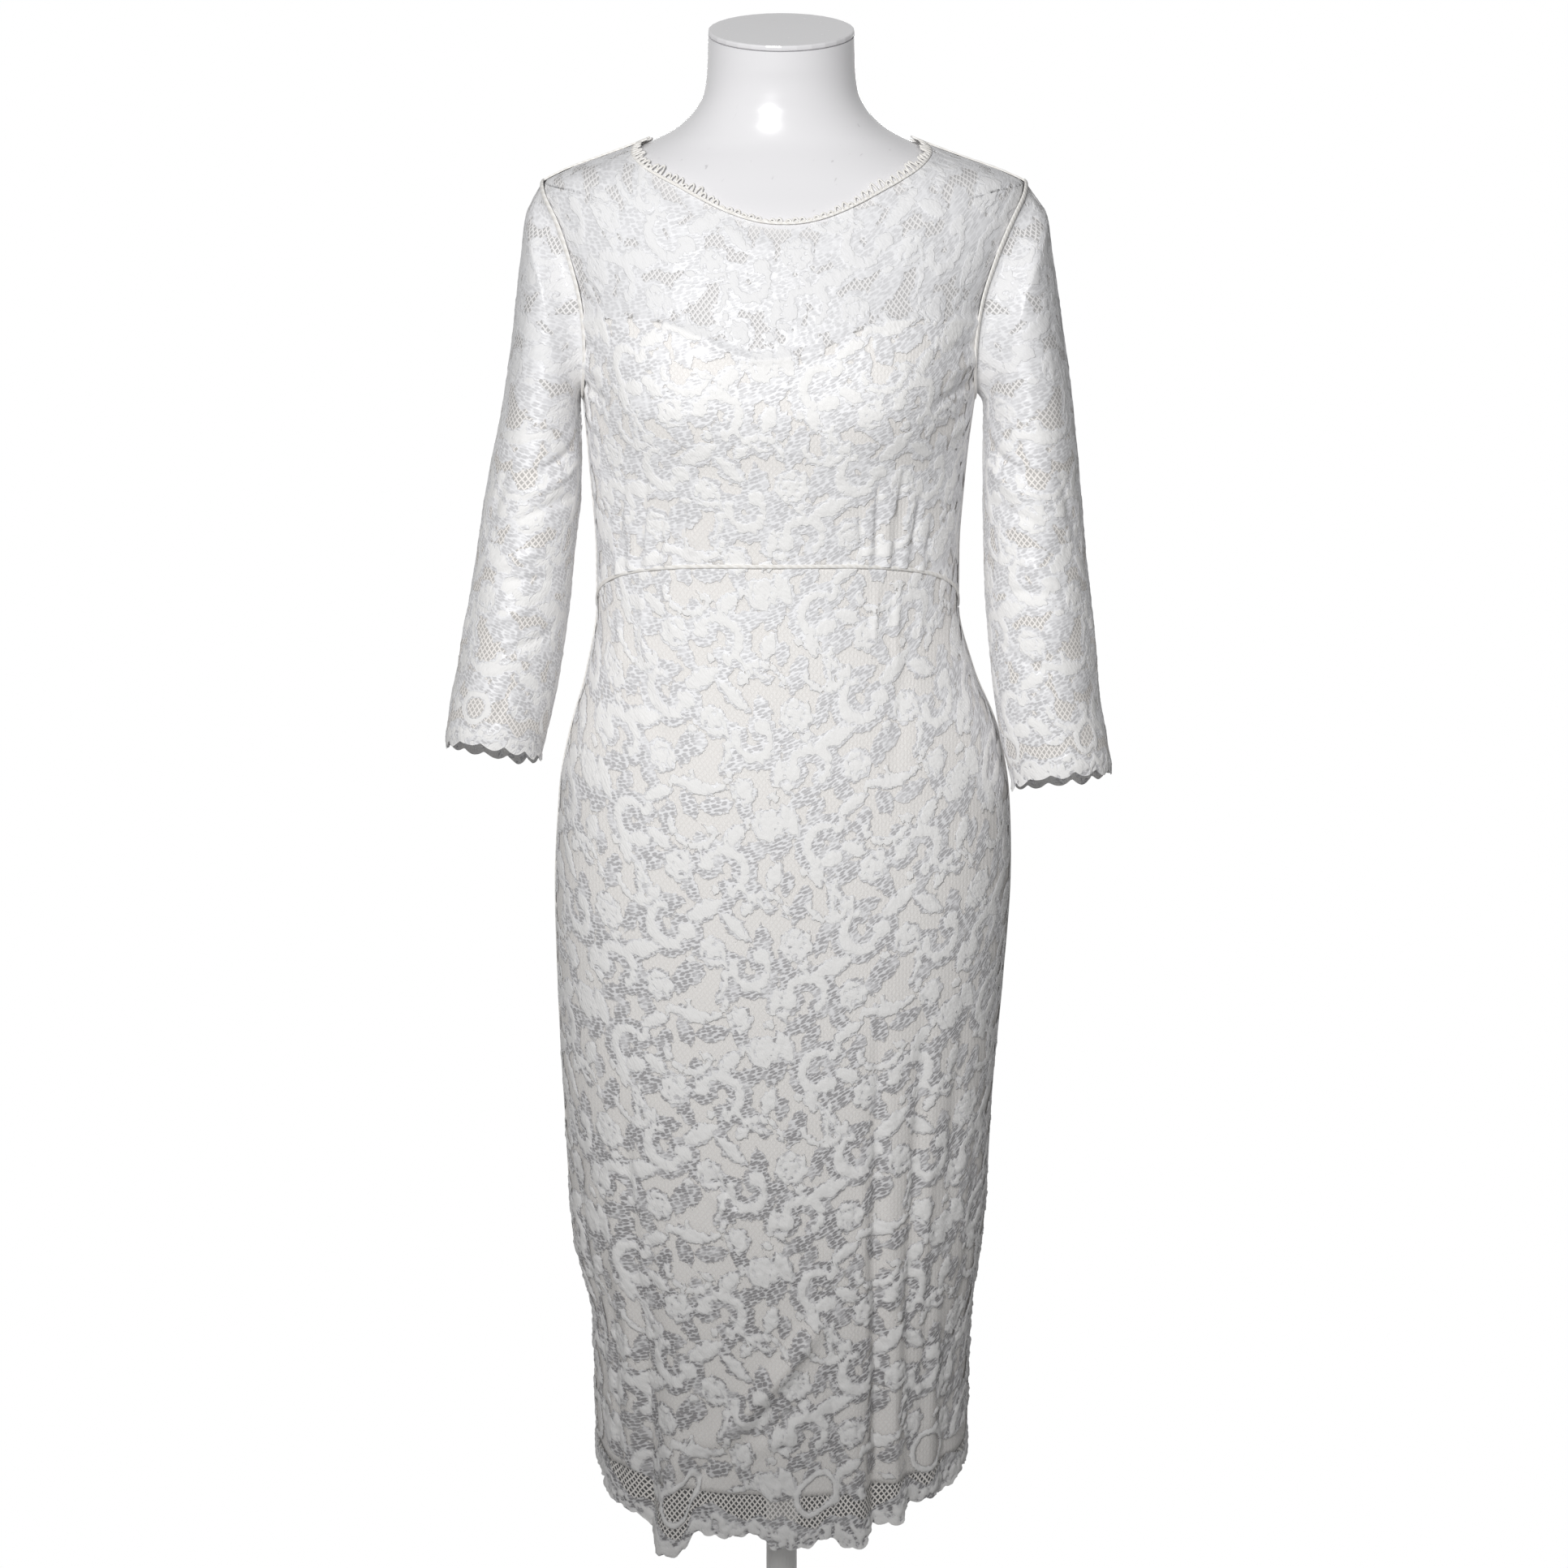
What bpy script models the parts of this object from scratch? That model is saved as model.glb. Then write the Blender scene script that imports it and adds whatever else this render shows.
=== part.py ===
"""Lace dress on a limbless dress form, metres, +Z up, the front faces -Y.

Right and left are the wearer's, so the right sleeve is at -X.
"""
import math

import bmesh
import bpy
import numpy as np

OBJECT_NAME = "lace_dress"

# Cloth and clearances
LACE_WALL = 0.0012
LINING_WALL = 0.0010
LINING_DEPTH = 0.0026          # lining's outer face below the lace's outer face
FORM_DEPTH_LINED = 0.0062      # form's surface below the lace's outer face, over the lining
FORM_DEPTH_BARE = 0.0047       # the same at the shoulders, where there is no lining
SEAM_GAP = 0.0003

# Heights of the garment's lines at the front centre, the sides and the back centre
WAIST_FRONT = 1.1415
WAIST_SIDE = 1.0985
WAIST_BACK = 1.108
NECK_FRONT = 1.397
NECK_SIDE = 1.4555
NECK_BACK = 1.436
ARMPIT = 1.262
HIP = 0.88
SHOULDER_TIP = 1.424
LINING_TOP_LIMIT = 1.330
HEM_BACK = 0.407
LINING_HEM_FRONT = 0.409
LINING_HEM_SIDE = 0.428
LINING_HEM_BACK = 0.432
HEM_BORDER_RISE = 0.009        # lowest straight row of the lace above its scalloped edge
HEM_SCALLOP = 0.087
HEM_SCALLOP_DROP = 0.008
SMALL_SCALLOP = 0.0135
SMALL_SCALLOP_DROP = 0.0022

# The body: half width and front and back depth of the dress at each height
BODY_COLUMNS = ("height", "half_width", "shift", "front", "back", "squareness")
BODY = (
    (0.330, 0.150, 0.001, 0.122, 0.124, 2.30),
    (0.430, 0.151, 0.000, 0.121, 0.124, 2.30),
    (0.520, 0.153, 0.000, 0.119, 0.123, 2.35),
    (0.600, 0.166, -0.003, 0.119, 0.124, 2.35),
    (0.700, 0.171, -0.003, 0.118, 0.127, 2.35),
    (0.800, 0.177, -0.001, 0.116, 0.130, 2.35),
    (0.880, 0.180, 0.001, 0.113, 0.131, 2.35),
    (0.950, 0.177, 0.002, 0.108, 0.126, 2.30),
    (1.000, 0.168, 0.002, 0.103, 0.117, 2.25),
    (1.050, 0.151, -0.001, 0.099, 0.105, 2.20),
    (1.100, 0.141, -0.003, 0.097, 0.096, 2.20),
    (1.140, 0.141, -0.003, 0.099, 0.094, 2.20),
    (1.200, 0.145, -0.003, 0.110, 0.099, 2.25),
    (1.260, 0.151, -0.002, 0.122, 0.107, 2.30),
    (1.300, 0.157, -0.001, 0.121, 0.112, 2.35),
    (1.340, 0.167, 0.000, 0.112, 0.115, 2.35),
    (1.370, 0.178, 0.001, 0.102, 0.115, 2.30),
    (1.400, 0.186, 0.002, 0.090, 0.112, 2.25),
    (1.412, 0.188, 0.002, 0.085, 0.109, 2.20),
    (1.424, 0.185, 0.002, 0.0785, 0.104, 2.20),
    (1.432, 0.171, 0.001, 0.0745, 0.099, 2.20),
    (1.4435, 0.141, 0.000, 0.068, 0.091, 2.15),
    (1.4555, 0.110, 0.000, 0.0605, 0.082, 2.10),
    (1.464, 0.086, 0.000, 0.0560, 0.075, 2.05),
    (1.4705, 0.0735, 0.000, 0.0530, 0.069, 2.00),
    (1.480, 0.0645, 0.000, 0.0510, 0.062, 2.00),
    (1.493, 0.0583, 0.000, 0.0510, 0.058, 2.00),
    (1.510, 0.0563, 0.000, 0.0530, 0.056, 2.00),
    (1.545, 0.0553, 0.000, 0.0553, 0.0553, 2.00),
)

# Bust, a soft rise on each side
BUST_ANGLE = 38.0
BUST_HEIGHT = 1.268
BUST_RISE = 0.009
BUST_SPREAD = 19.0
BUST_TALL = 0.042

# Long folds of the skirt, each grows from its top height down to the hem; a positive rise is a ridge
# Columns: angle_top, angle_hem, top, spread, rise
FOLDS = (
    (24.0, 27.5, 0.64, 5.0, 0.006),
    (34.0, 36.0, 0.80, 4.0, -0.011),
    (41.0, 42.5, 0.62, 3.5, 0.004),
    (46.0, 49.0, 0.86, 4.5, -0.008),
    (60.0, 63.0, 0.82, 5.0, -0.006),
    (-32.0, -40.5, 0.60, 5.0, 0.009),
    (-44.0, -51.0, 0.72, 4.5, -0.010),
    (-68.0, -64.0, 0.66, 6.0, 0.004),
    (-6.0, -12.0, 0.52, 7.0, -0.005),
    (118.0, 120.0, 0.84, 7.0, -0.008),
    (142.0, 138.0, 0.66, 7.0, 0.007),
    (165.0, 162.0, 0.80, 7.0, -0.008),
    (192.0, 196.0, 0.70, 8.0, 0.007),
    (214.0, 217.0, 0.86, 7.0, -0.009),
    (238.0, 236.0, 0.64, 7.0, 0.006),
)
HEM_LEVEL = 0.36
FOLD_GROWTH = 1.3

# Gathers above the waist, outward ridges on both sides of the front
# Columns: angle, reach, rise
GATHERS = (
    (-66.0, 0.052, 0.0026),
    (-59.0, 0.078, 0.0034),
    (-52.0, 0.060, 0.0028),
    (-45.0, 0.045, 0.0022),
    (37.0, 0.044, 0.0022),
    (44.0, 0.080, 0.0036),
    (51.0, 0.062, 0.0030),
    (58.0, 0.040, 0.0022),
)
GATHER_SPREAD = 2.1
GATHER_GROWTH = 1.2

# Columns of the front and back panels: even steps between these angles
FRONT_COLUMNS = ((-90.0, -69.5, 2), (-69.5, -41.5, 8), (-41.5, 19.5, 5), (19.5, 33.5, 3),
                 (33.5, 61.5, 8), (61.5, 90.0, 2))
BACK_STEPS = 16
TORSO_ROWS_BELOW = 6           # rows of cloth from the waist to the armpit
TORSO_ROWS_ARMHOLE = 10
TORSO_ROWS_SHOULDER = 3
NECK_ROW_STEP = 0.005          # between the shoulder's rows where they pass the panel's centre
SKIRT_ROWS = 12
HEM_FINE = 4                   # edge points for each column along the scallops

# Armhole, an upright loop on the body's side
ARMHOLE_HALF_ANGLE = 19.5
ARMHOLE_EGG = 0.22

# Scalloped edge of the front hem, its large lobes hang lower where the long folds come forward
HEM_COLUMNS = ("angle", "height")
HEM = (
    (-90.0, 0.408), (-74.0, 0.404), (-65.0, 0.391), (-53.0, 0.378), (-49.5, 0.361), (-46.0, 0.356),
    (-42.0, 0.3555), (-38.0, 0.359), (-34.5, 0.367), (-31.5, 0.379), (-20.0, 0.3755), (-10.0, 0.378),
    (-3.0, 0.367), (8.0, 0.368), (17.5, 0.3765), (21.5, 0.369), (25.0, 0.364), (29.0, 0.364),
    (33.0, 0.378), (43.0, 0.382), (47.0, 0.392), (64.0, 0.395), (76.0, 0.405), (90.0, 0.410),
)

# Sweetheart edge of the front lining, above its height at the armholes
SWEETHEART_COLUMNS = ("angle", "height")
SWEETHEART = (
    (-90.0, 0.0000), (-70.0, 0.0010), (-48.0, 0.0110), (-27.0, -0.0040), (-17.0, -0.0150),
    (-7.0, -0.0205), (10.0, -0.0160), (26.0, 0.0005), (40.0, 0.0095), (58.0, 0.0060),
    (70.0, 0.0010), (90.0, 0.0000),
)

# Sleeves: distances out from the body's centre, the middle's place along Y and the half depth
SLEEVE_COLUMNS = ("height", "right_outer", "right_inner", "left_outer", "left_inner",
                  "middle_y", "half_depth", "cut_y", "cut_x")
SLEEVES = (
    (1.236, 0.2195, 0.1545, 0.2275, 0.1560, 0.000, 0.0620, 0.00, 0.00),
    (1.190, 0.2290, 0.1550, 0.2325, 0.1560, -0.003, 0.0600, 0.04, 0.02),
    (1.145, 0.2360, 0.1600, 0.2370, 0.1570, -0.008, 0.0570, 0.08, 0.04),
    (1.100, 0.2430, 0.1650, 0.2425, 0.1600, -0.014, 0.0535, 0.13, 0.07),
    (1.060, 0.2500, 0.1710, 0.2460, 0.1645, -0.021, 0.0500, 0.18, 0.10),
    (1.025, 0.2570, 0.1780, 0.2515, 0.1700, -0.028, 0.0465, 0.23, 0.13),
    (0.994, 0.2610, 0.1860, 0.2570, 0.1790, -0.035, 0.0435, 0.27, 0.15),
)
LEFT_SLEEVE_LONGER = 0.022
SLEEVE_STEPS = 20
COLLAR_LOW_RIGHT = 0.1552      # the ring just outside the armhole, out from the body's centre
COLLAR_HIGH_RIGHT = 0.1965
COLLAR_LOW_LEFT = 0.1560
COLLAR_HIGH_LEFT = 0.2045
COLLAR_DEPTH = 0.0600
COLLAR_TALL = 0.0700
COLLAR_DROP = 0.0190
LEAVE_TIP = 0.0120             # how far the sleeve follows the body's surface out of the armhole
LEAVE_ARMPIT = 0.0045
ARRIVE_TIP = 0.0140            # how far it runs straight into the ring outside the armhole
ARRIVE_ARMPIT = 0.0050
SLEEVE_LEAD = 0.12             # part of the sleeve that gives its way at the top ring
SLEEVE_ROWS_CAP = 4
SLEEVE_ROWS_UPPER = 4
SLEEVE_ROWS_LOWER = 8
CUFF_FINE = 2
CUFF_BORDER = 0.004
CUFF_SCALLOP = 0.0135
CUFF_SCALLOP_DROP = 0.0026

# The sleeve's folds: place down the sleeve from 0 to 1, angle, spread in both, and the rise
# Columns: along, angle, long_spread, spread, rise
SLEEVE_FOLDS = (
    (0.16, 300.0, 0.05, 22.0, 0.0030),
    (0.28, 320.0, 0.05, 24.0, -0.0024),
    (0.40, 285.0, 0.06, 26.0, 0.0026),
    (0.58, 240.0, 0.07, 24.0, -0.0024),
    (0.70, 300.0, 0.07, 26.0, 0.0022),
    (0.34, 120.0, 0.07, 26.0, -0.0026),
    (0.55, 100.0, 0.08, 24.0, 0.0024),
    (0.80, 150.0, 0.07, 24.0, -0.0018),
)

# Dress form and stand
FORM_BOTTOM = 0.742
FORM_STEPS = 28
FORM_EDGE = 0.014
FORM_EDGE_ROWS = (0.0, 0.3, 0.7)
FORM_HALF = 0.13               # mean half width of the form, for its rounded lower edge
FORM_BARE_FADE = 0.070         # height over which its depth goes from the lined to the bare one
FORM_NECK_FADE = 0.016
FORM_HEIGHTS = (
    0.756, 0.82, 0.88, 0.94, 0.99, 1.04, 1.09, 1.14, 1.19, 1.23, 1.265, 1.30, 1.335, 1.37,
    1.395, 1.41, 1.42, 1.428, 1.436, 1.444, 1.4505, 1.457, 1.464, 1.471, 1.480, 1.491, 1.503,
)
NECK_HEIGHTS = (1.519, 1.5345)
NECK_TILT = math.radians(13.6)
CAP_RADIUS = 0.0556
CAP_THICKNESS = 0.0042
CAP_EDGE = 0.0012
CAP_STEPS = 30
POLE_RADIUS = 0.0125
POLE_STEPS = 24
COLLAR_RADIUS = 0.042
COLLAR_HEIGHT = 0.022
COLLAR_EDGE = 0.003
COLLAR_STEPS = 28
BASE_RADIUS = 0.165
BASE_THICKNESS = 0.012
BASE_EDGE = 0.004
BASE_STEPS = 44
PLAY = 0.0003


def smooth_column(table, names, key, name, where):
    """One column of a table read at any place, with no overshoot between the rows."""
    rows = sorted(table, key=lambda row: row[names.index(key)])
    x = np.array([row[names.index(key)] for row in rows])
    y = np.array([row[names.index(name)] for row in rows])
    step = np.diff(x)
    slope = np.diff(y) / step
    tangent = np.zeros(len(x))
    same_way = slope[:-1] * slope[1:] > 0
    total = np.where(same_way, slope[:-1] + slope[1:], 1.0)
    tangent[1:-1] = np.where(same_way, 2.0 * slope[:-1] * slope[1:] / total, 0.0)
    tangent[0] = slope[0]
    tangent[-1] = slope[-1]
    where = np.clip(where, x[0], x[-1])
    i = np.clip(np.searchsorted(x, where) - 1, 0, len(x) - 2)
    t = (where - x[i]) / step[i]
    return ((2 * t**3 - 3 * t**2 + 1) * y[i] + (t**3 - 2 * t**2 + t) * step[i] * tangent[i]
            + (3 * t**2 - 2 * t**3) * y[i + 1] + (t**3 - t**2) * step[i] * tangent[i + 1])


def bump(distance, spread):
    return np.exp(-(distance / spread) ** 2)


def fold_rise(angle, height):
    """How far the skirt's long folds stand out, angles in degrees from the front."""
    turn = np.mod(angle + 90.0, 360.0) - 90.0
    total = np.zeros(np.broadcast(turn, height).shape)
    for angle_top, angle_hem, top, spread, rise in FOLDS:
        down = np.clip((top - height) / (top - HEM_LEVEL), 0.0, 1.0)
        centre = angle_top + (angle_hem - angle_top) * down
        total = total + rise * down**FOLD_GROWTH * bump(turn - centre, spread)
    return total


def gather_rise(angle, height):
    """The gathers' outward ridges, which fade upwards from the waist seam."""
    up = height - waist_height(angle)
    total = np.zeros(np.broadcast(angle, height).shape)
    for centre, reach, rise in GATHERS:
        fade = np.clip(1.0 - up / reach, 0.0, 1.0)
        total = total + rise * fade**GATHER_GROWTH * bump(angle - centre, GATHER_SPREAD)
    return total


def body_radius(angle, height):
    """Distance from the body's axis to the lace's outer face, without its gathers."""
    a, front, back, n = (smooth_column(BODY, BODY_COLUMNS, "height", name, height)
                         for name in ("half_width", "front", "back", "squareness"))
    side = np.abs(np.sin(np.radians(angle)))
    ahead = np.cos(np.radians(angle))
    depth = np.where(ahead > 0, front, back)
    radius = ((side / a) ** n + (np.abs(ahead) / depth) ** n) ** (-1.0 / n)
    tall = bump(height - BUST_HEIGHT, BUST_TALL)
    for middle in (-BUST_ANGLE, BUST_ANGLE):
        turn = np.mod(angle - middle + 180.0, 360.0) - 180.0
        radius = radius + BUST_RISE * bump(turn, BUST_SPREAD) * tall
    return radius + fold_rise(angle, height)


def body_point(angle, height, rise=0.0):
    shift = smooth_column(BODY, BODY_COLUMNS, "height", "shift", height)
    radius = body_radius(angle, height) + rise
    x = shift + radius * np.sin(np.radians(angle))
    y = -radius * np.cos(np.radians(angle))
    return np.stack([x, y, height + 0.0 * x], axis=-1)


def body_normal(angle, height):
    """Outward unit normal of the body without its gathers."""
    turn = 0.4
    up = 0.0012
    across = body_point(angle + turn, height) - body_point(angle - turn, height)
    along = body_point(angle, height + up) - body_point(angle, height - up)
    normal = np.cross(across, along)
    return normal / np.linalg.norm(normal, axis=-1, keepdims=True)


def waist_height(angle):
    turn = np.abs(np.mod(angle + 180.0, 360.0) - 180.0)
    front = WAIST_FRONT - (WAIST_FRONT - WAIST_SIDE) * (turn / 90.0) ** 4
    back = WAIST_BACK - (WAIST_BACK - WAIST_SIDE) * (np.abs(180.0 - turn) / 90.0) ** 2
    return np.where(turn <= 90.0, front, back)


def lining_hem_height(angle):
    """Straight hem of the lining, lowest at the front centre."""
    turn = np.abs(np.mod(angle + 180.0, 360.0) - 180.0)
    front = LINING_HEM_FRONT + (LINING_HEM_SIDE - LINING_HEM_FRONT) * (turn / 90.0) ** 2
    back = LINING_HEM_BACK + (LINING_HEM_SIDE - LINING_HEM_BACK) * ((180.0 - turn) / 90.0) ** 2
    return np.where(turn <= 90.0, front, back)


def hem_edge(angle, length, back):
    """The lace's scalloped edge, by its angle and its length along the hem."""
    small = SMALL_SCALLOP_DROP * np.abs(np.sin(math.pi * length / SMALL_SCALLOP))
    if back:
        large = HEM_SCALLOP_DROP * np.abs(np.sin(math.pi * length / HEM_SCALLOP))
        return HEM_BACK - large - small
    return smooth_column(HEM, HEM_COLUMNS, "angle", "height", angle) - small


def armhole_half_angle(down):
    """Half the armhole's angle; down is 1 at the armpit and -1 at the shoulder tip."""
    return ARMHOLE_HALF_ANGLE * np.sqrt(np.clip(1.0 - down**2, 0.0, 1.0)) * (1.0 + ARMHOLE_EGG * down)


def armhole_place(height):
    middle = (ARMPIT + SHOULDER_TIP) / 2
    return np.clip((middle - height) / (SHOULDER_TIP - middle), -1.0, 1.0)


def seam_turn(angle, height):
    """The angle that half a seam gap takes up at the side."""
    return np.degrees(SEAM_GAP / 2 / body_radius(angle, height))


def skirt_half_turn():
    return 90.0 - seam_turn(90.0, HIP)


def edge_turn(height):
    """Degrees from the panel's centre to its side edge at a height."""
    side = 90.0 - seam_turn(90.0, height)
    return side - armhole_half_angle(armhole_place(height))


def mesh_object(name, vertices, faces, material, smooth_angle=50.0):
    mesh = bpy.data.meshes.new(name)
    mesh.from_pydata([tuple(float(c) for c in v) for v in vertices], [], faces)
    bm = bmesh.new()
    bm.from_mesh(mesh)
    bmesh.ops.triangulate(bm, faces=[f for f in bm.faces if len(f.verts) > 3])
    bmesh.ops.recalc_face_normals(bm, faces=bm.faces)
    bm.to_mesh(mesh)
    bm.free()
    mesh.materials.append(material)
    mesh.shade_smooth()
    mesh.set_sharp_from_angle(angle=math.radians(smooth_angle))
    item = bpy.data.objects.new(name, mesh)
    bpy.data.collections[OBJECT_NAME].objects.link(item)
    return item


def strip_faces(upper, lower, closed):
    """Faces between two rows of point numbers; the lower row may be finer."""
    upper = list(upper) + [upper[0]] * closed
    lower = list(lower) + [lower[0]] * closed
    fine = (len(lower) - 1) // (len(upper) - 1)
    faces = []
    for i in range(len(upper) - 1):
        part = lower[i * fine:(i + 1) * fine + 1]
        turn = (fine + 1) // 2
        for k in range(fine):
            apex = upper[i] if k < turn else upper[i + 1]
            faces.append((apex, part[k], part[k + 1]))
        faces.append((upper[i], part[turn], upper[i + 1]))
    return faces


def wall_object(name, outer_rows, inner_rows, closed, material):
    """A closed wall between two sheets given as rows from the top down."""
    points = []
    numbers = []
    for rows in (outer_rows, inner_rows):
        sheet = []
        for row in rows:
            sheet.append(list(range(len(points), len(points) + len(row))))
            points.extend(row)
        numbers.append(sheet)
    outer, inner = numbers
    faces = []
    for upper, lower in zip(outer[:-1], outer[1:]):
        faces += strip_faces(upper, lower, closed)
    for upper, lower in zip(inner[:-1], inner[1:]):
        faces += [face[::-1] for face in strip_faces(upper, lower, closed)]
    faces += [face[::-1] for face in strip_faces(outer[0], inner[0], closed)]
    faces += strip_faces(outer[-1], inner[-1], closed)
    if not closed:
        for end in (0, -1):
            rim = strip_faces([row[end] for row in outer], [row[end] for row in inner], False)
            faces += rim if end == 0 else [face[::-1] for face in rim]
    return mesh_object(name, points, faces, material)


def front_places():
    """Places of the front's columns, -1 at its right edge and 1 at its left edge."""
    angles = [-90.0]
    for start, stop, steps in FRONT_COLUMNS:
        angles += list(np.linspace(start, stop, steps + 1)[1:])
    return np.array(angles) / 90.0


def back_places():
    return np.linspace(-1.0, 1.0, BACK_STEPS + 1)


def panel_sheets(rows, centre, outer_depth, wall, gathers):
    """Outer and inner rows of a panel from rows of angles and heights."""
    outer_rows = []
    inner_rows = []
    for angle, height in rows:
        rise = gather_rise(angle, height) if gathers else 0.0
        normal = body_normal(angle + centre, height)
        skin = body_point(angle + centre, height, rise)
        outer_rows.append(skin - normal * outer_depth)
        inner_rows.append(skin - normal * (outer_depth + wall))
    return outer_rows, inner_rows


def bodice_rows(places, back):
    """Rows of a bodice panel from the neckline down to the waist seam."""
    neck_centre = NECK_BACK if back else NECK_FRONT
    waist_centre = waist_height(180.0 if back else 0.0)
    shoulder = np.linspace(NECK_SIDE, SHOULDER_TIP, TORSO_ROWS_SHOULDER + 1)
    turns = np.linspace(math.pi, 0.0, TORSO_ROWS_ARMHOLE + 1)[1:]
    middle = (ARMPIT + SHOULDER_TIP) / 2
    armhole = middle - (SHOULDER_TIP - middle) * np.cos(turns)
    below = np.linspace(ARMPIT, WAIST_SIDE + SEAM_GAP / 2, TORSO_ROWS_BELOW + 1)[1:]
    edges = np.concatenate([shoulder, armhole, below])
    below_centre = np.linspace(ARMPIT, waist_centre + SEAM_GAP / 2, TORSO_ROWS_BELOW + 1)
    shoulder_centre = neck_centre - NECK_ROW_STEP * np.arange(TORSO_ROWS_SHOULDER + 1)
    armhole_centre = np.linspace(shoulder_centre[-1], ARMPIT, TORSO_ROWS_ARMHOLE + 1)[1:]
    centres = np.concatenate([shoulder_centre, armhole_centre, below_centre[1:]])
    part = np.abs(places)
    rows = []
    for edge, middle_height in zip(edges, centres):
        if edge >= ARMPIT:
            rise = part**2 * (3.0 - 2.0 * part)
            height = middle_height + (edge - middle_height) * rise
        else:
            down = (ARMPIT - edge) / (ARMPIT - WAIST_SIDE)
            height = ARMPIT + (waist_height(places * 90.0 + 180.0 * back) + SEAM_GAP / 2 - ARMPIT) * down
        angle = places * edge_turn(edge)
        rows.append((angle, height))
    return rows


def lining_bodice_rows(places, back):
    """Rows of the bodice lining, from its top edge down to the waist seam."""
    angles = places * 90.0
    bodice = bodice_rows(places, back)
    armhole = [height[0] for _, height in bodice if ARMPIT <= height[0] < LINING_TOP_LIMIT]
    if back:
        top = armhole[0] + 0.0 * places
    else:
        top = smooth_column(SWEETHEART, SWEETHEART_COLUMNS, "angle", "height", angles) + armhole[0]
    rows = []
    for edge in armhole:
        part = (edge - ARMPIT) / (armhole[0] - ARMPIT)
        rows.append((places * edge_turn(edge), ARMPIT + (top - ARMPIT) * part))
    return rows + bodice[-TORSO_ROWS_BELOW:]


def skirt_rows(places, centre, lowest):
    """Rows of a skirt panel from the waist seam down, closer together at the waist."""
    part = np.linspace(0.0, 1.0, SKIRT_ROWS + 1)
    angle = places * skirt_half_turn()
    top = waist_height(angle + centre) - SEAM_GAP / 2
    rows = []
    for down in part:
        rows.append((angle, top + (lowest - top) * down))
    return rows


def hem_rows(places, centre):
    """The lace's two last rows: a plain one and the finer, scalloped edge."""
    back = centre > 90.0
    fine = np.interp(np.arange((len(places) - 1) * HEM_FINE + 1) / HEM_FINE,
                     np.arange(len(places)), places)
    angle = fine * skirt_half_turn()
    line = body_point(angle + centre, HEM_BACK)
    length = np.concatenate([[0.0], np.cumsum(np.linalg.norm(np.diff(line, axis=0), axis=1))])
    edge = hem_edge(angle, length, back)
    plain = hem_edge(angle, 0.0 * length, back) + HEM_BORDER_RISE
    return (angle[::HEM_FINE], plain[::HEM_FINE]), (angle, edge)


def build_dress(lace, knit):
    for side, places, centre in (("front", front_places(), 0.0), ("back", back_places(), 180.0)):
        back = side == "back"
        rows = bodice_rows(places, back)
        wall_object(side + "_bodice", *panel_sheets(rows, centre, 0.0, LACE_WALL, not back), False, lace)
        rows = lining_bodice_rows(places, back)
        wall_object(side + "_bodice_lining",
                    *panel_sheets(rows, centre, LINING_DEPTH, LINING_WALL, False), False, knit)
        lining_rows = skirt_rows(places, centre, lining_hem_height(places * 90.0 + centre))
        rows = lining_rows + list(hem_rows(places, centre))
        wall_object(side + "_skirt", *panel_sheets(rows, centre, 0.0, LACE_WALL, False), False, lace)
        wall_object(side + "_skirt_lining",
                    *panel_sheets(lining_rows, centre, LINING_DEPTH, LINING_WALL, False), False, knit)


def armhole_loop(side):
    """Points on the armhole's edge, outer and inner, with the body's normal and the way across."""
    turn = np.arange(SLEEVE_STEPS) * 2.0 * math.pi / SLEEVE_STEPS
    down = np.cos(turn)
    middle = (ARMPIT + SHOULDER_TIP) / 2
    height = middle - (SHOULDER_TIP - middle) * down
    half = armhole_half_angle(down)
    ahead = np.sign(np.sin(turn)) * (np.abs(np.sin(turn)) > 1e-6)
    angle = side * (90.0 - ahead * half)
    outer = body_point(angle, height)
    normal = body_normal(angle, height)
    along = np.roll(outer, -1, axis=0) - np.roll(outer, 1, axis=0)
    across = np.cross(normal, along)
    across = across / np.linalg.norm(across, axis=-1, keepdims=True)
    centre = outer.mean(axis=0)
    inward = np.sign(np.sum((centre - outer) * across, axis=-1, keepdims=True))
    return outer, normal, across * inward


def bezier(p0, p1, p2, p3, t):
    return (1 - t)**3 * p0 + 3 * t * (1 - t)**2 * p1 + 3 * t**2 * (1 - t) * p2 + t**3 * p3


def sleeve_ring(side, down):
    """Ring of the sleeve at a place from 0 below the armpit to 1 at the cuff."""
    name = "left" if side > 0 else "right"
    longer = LEFT_SLEEVE_LONGER if side > 0 else 0.0
    top = SLEEVES[0][0]
    bottom = SLEEVES[-1][0]
    place = top + (bottom - top) * down
    values = {column: smooth_column(SLEEVES, SLEEVE_COLUMNS, "height", column, np.float64(place))
              for column in (name + "_outer", name + "_inner", "middle_y", "half_depth", "cut_y", "cut_x")}
    middle_x = (values[name + "_outer"] + values[name + "_inner"]) / 2
    half_width = (values[name + "_outer"] - values[name + "_inner"]) / 2
    turn = np.arange(SLEEVE_STEPS) * 2.0 * math.pi / SLEEVE_STEPS
    degrees = np.degrees(turn)
    swell = np.zeros(SLEEVE_STEPS)
    for along, angle, long_spread, spread, rise in SLEEVE_FOLDS:
        gap = np.mod(degrees - angle + 180.0, 360.0) - 180.0
        swell = swell + rise * bump(gap, spread) * bump(down - along, long_spread)
    out = -half_width * np.cos(turn) - swell * np.cos(turn)
    ahead = -(values["half_depth"] + swell) * np.sin(turn)
    height = place - longer * down - values["cut_y"] * ahead + values["cut_x"] * out
    return np.stack([side * (middle_x + out), values["middle_y"] + ahead, height], axis=-1)


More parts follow.
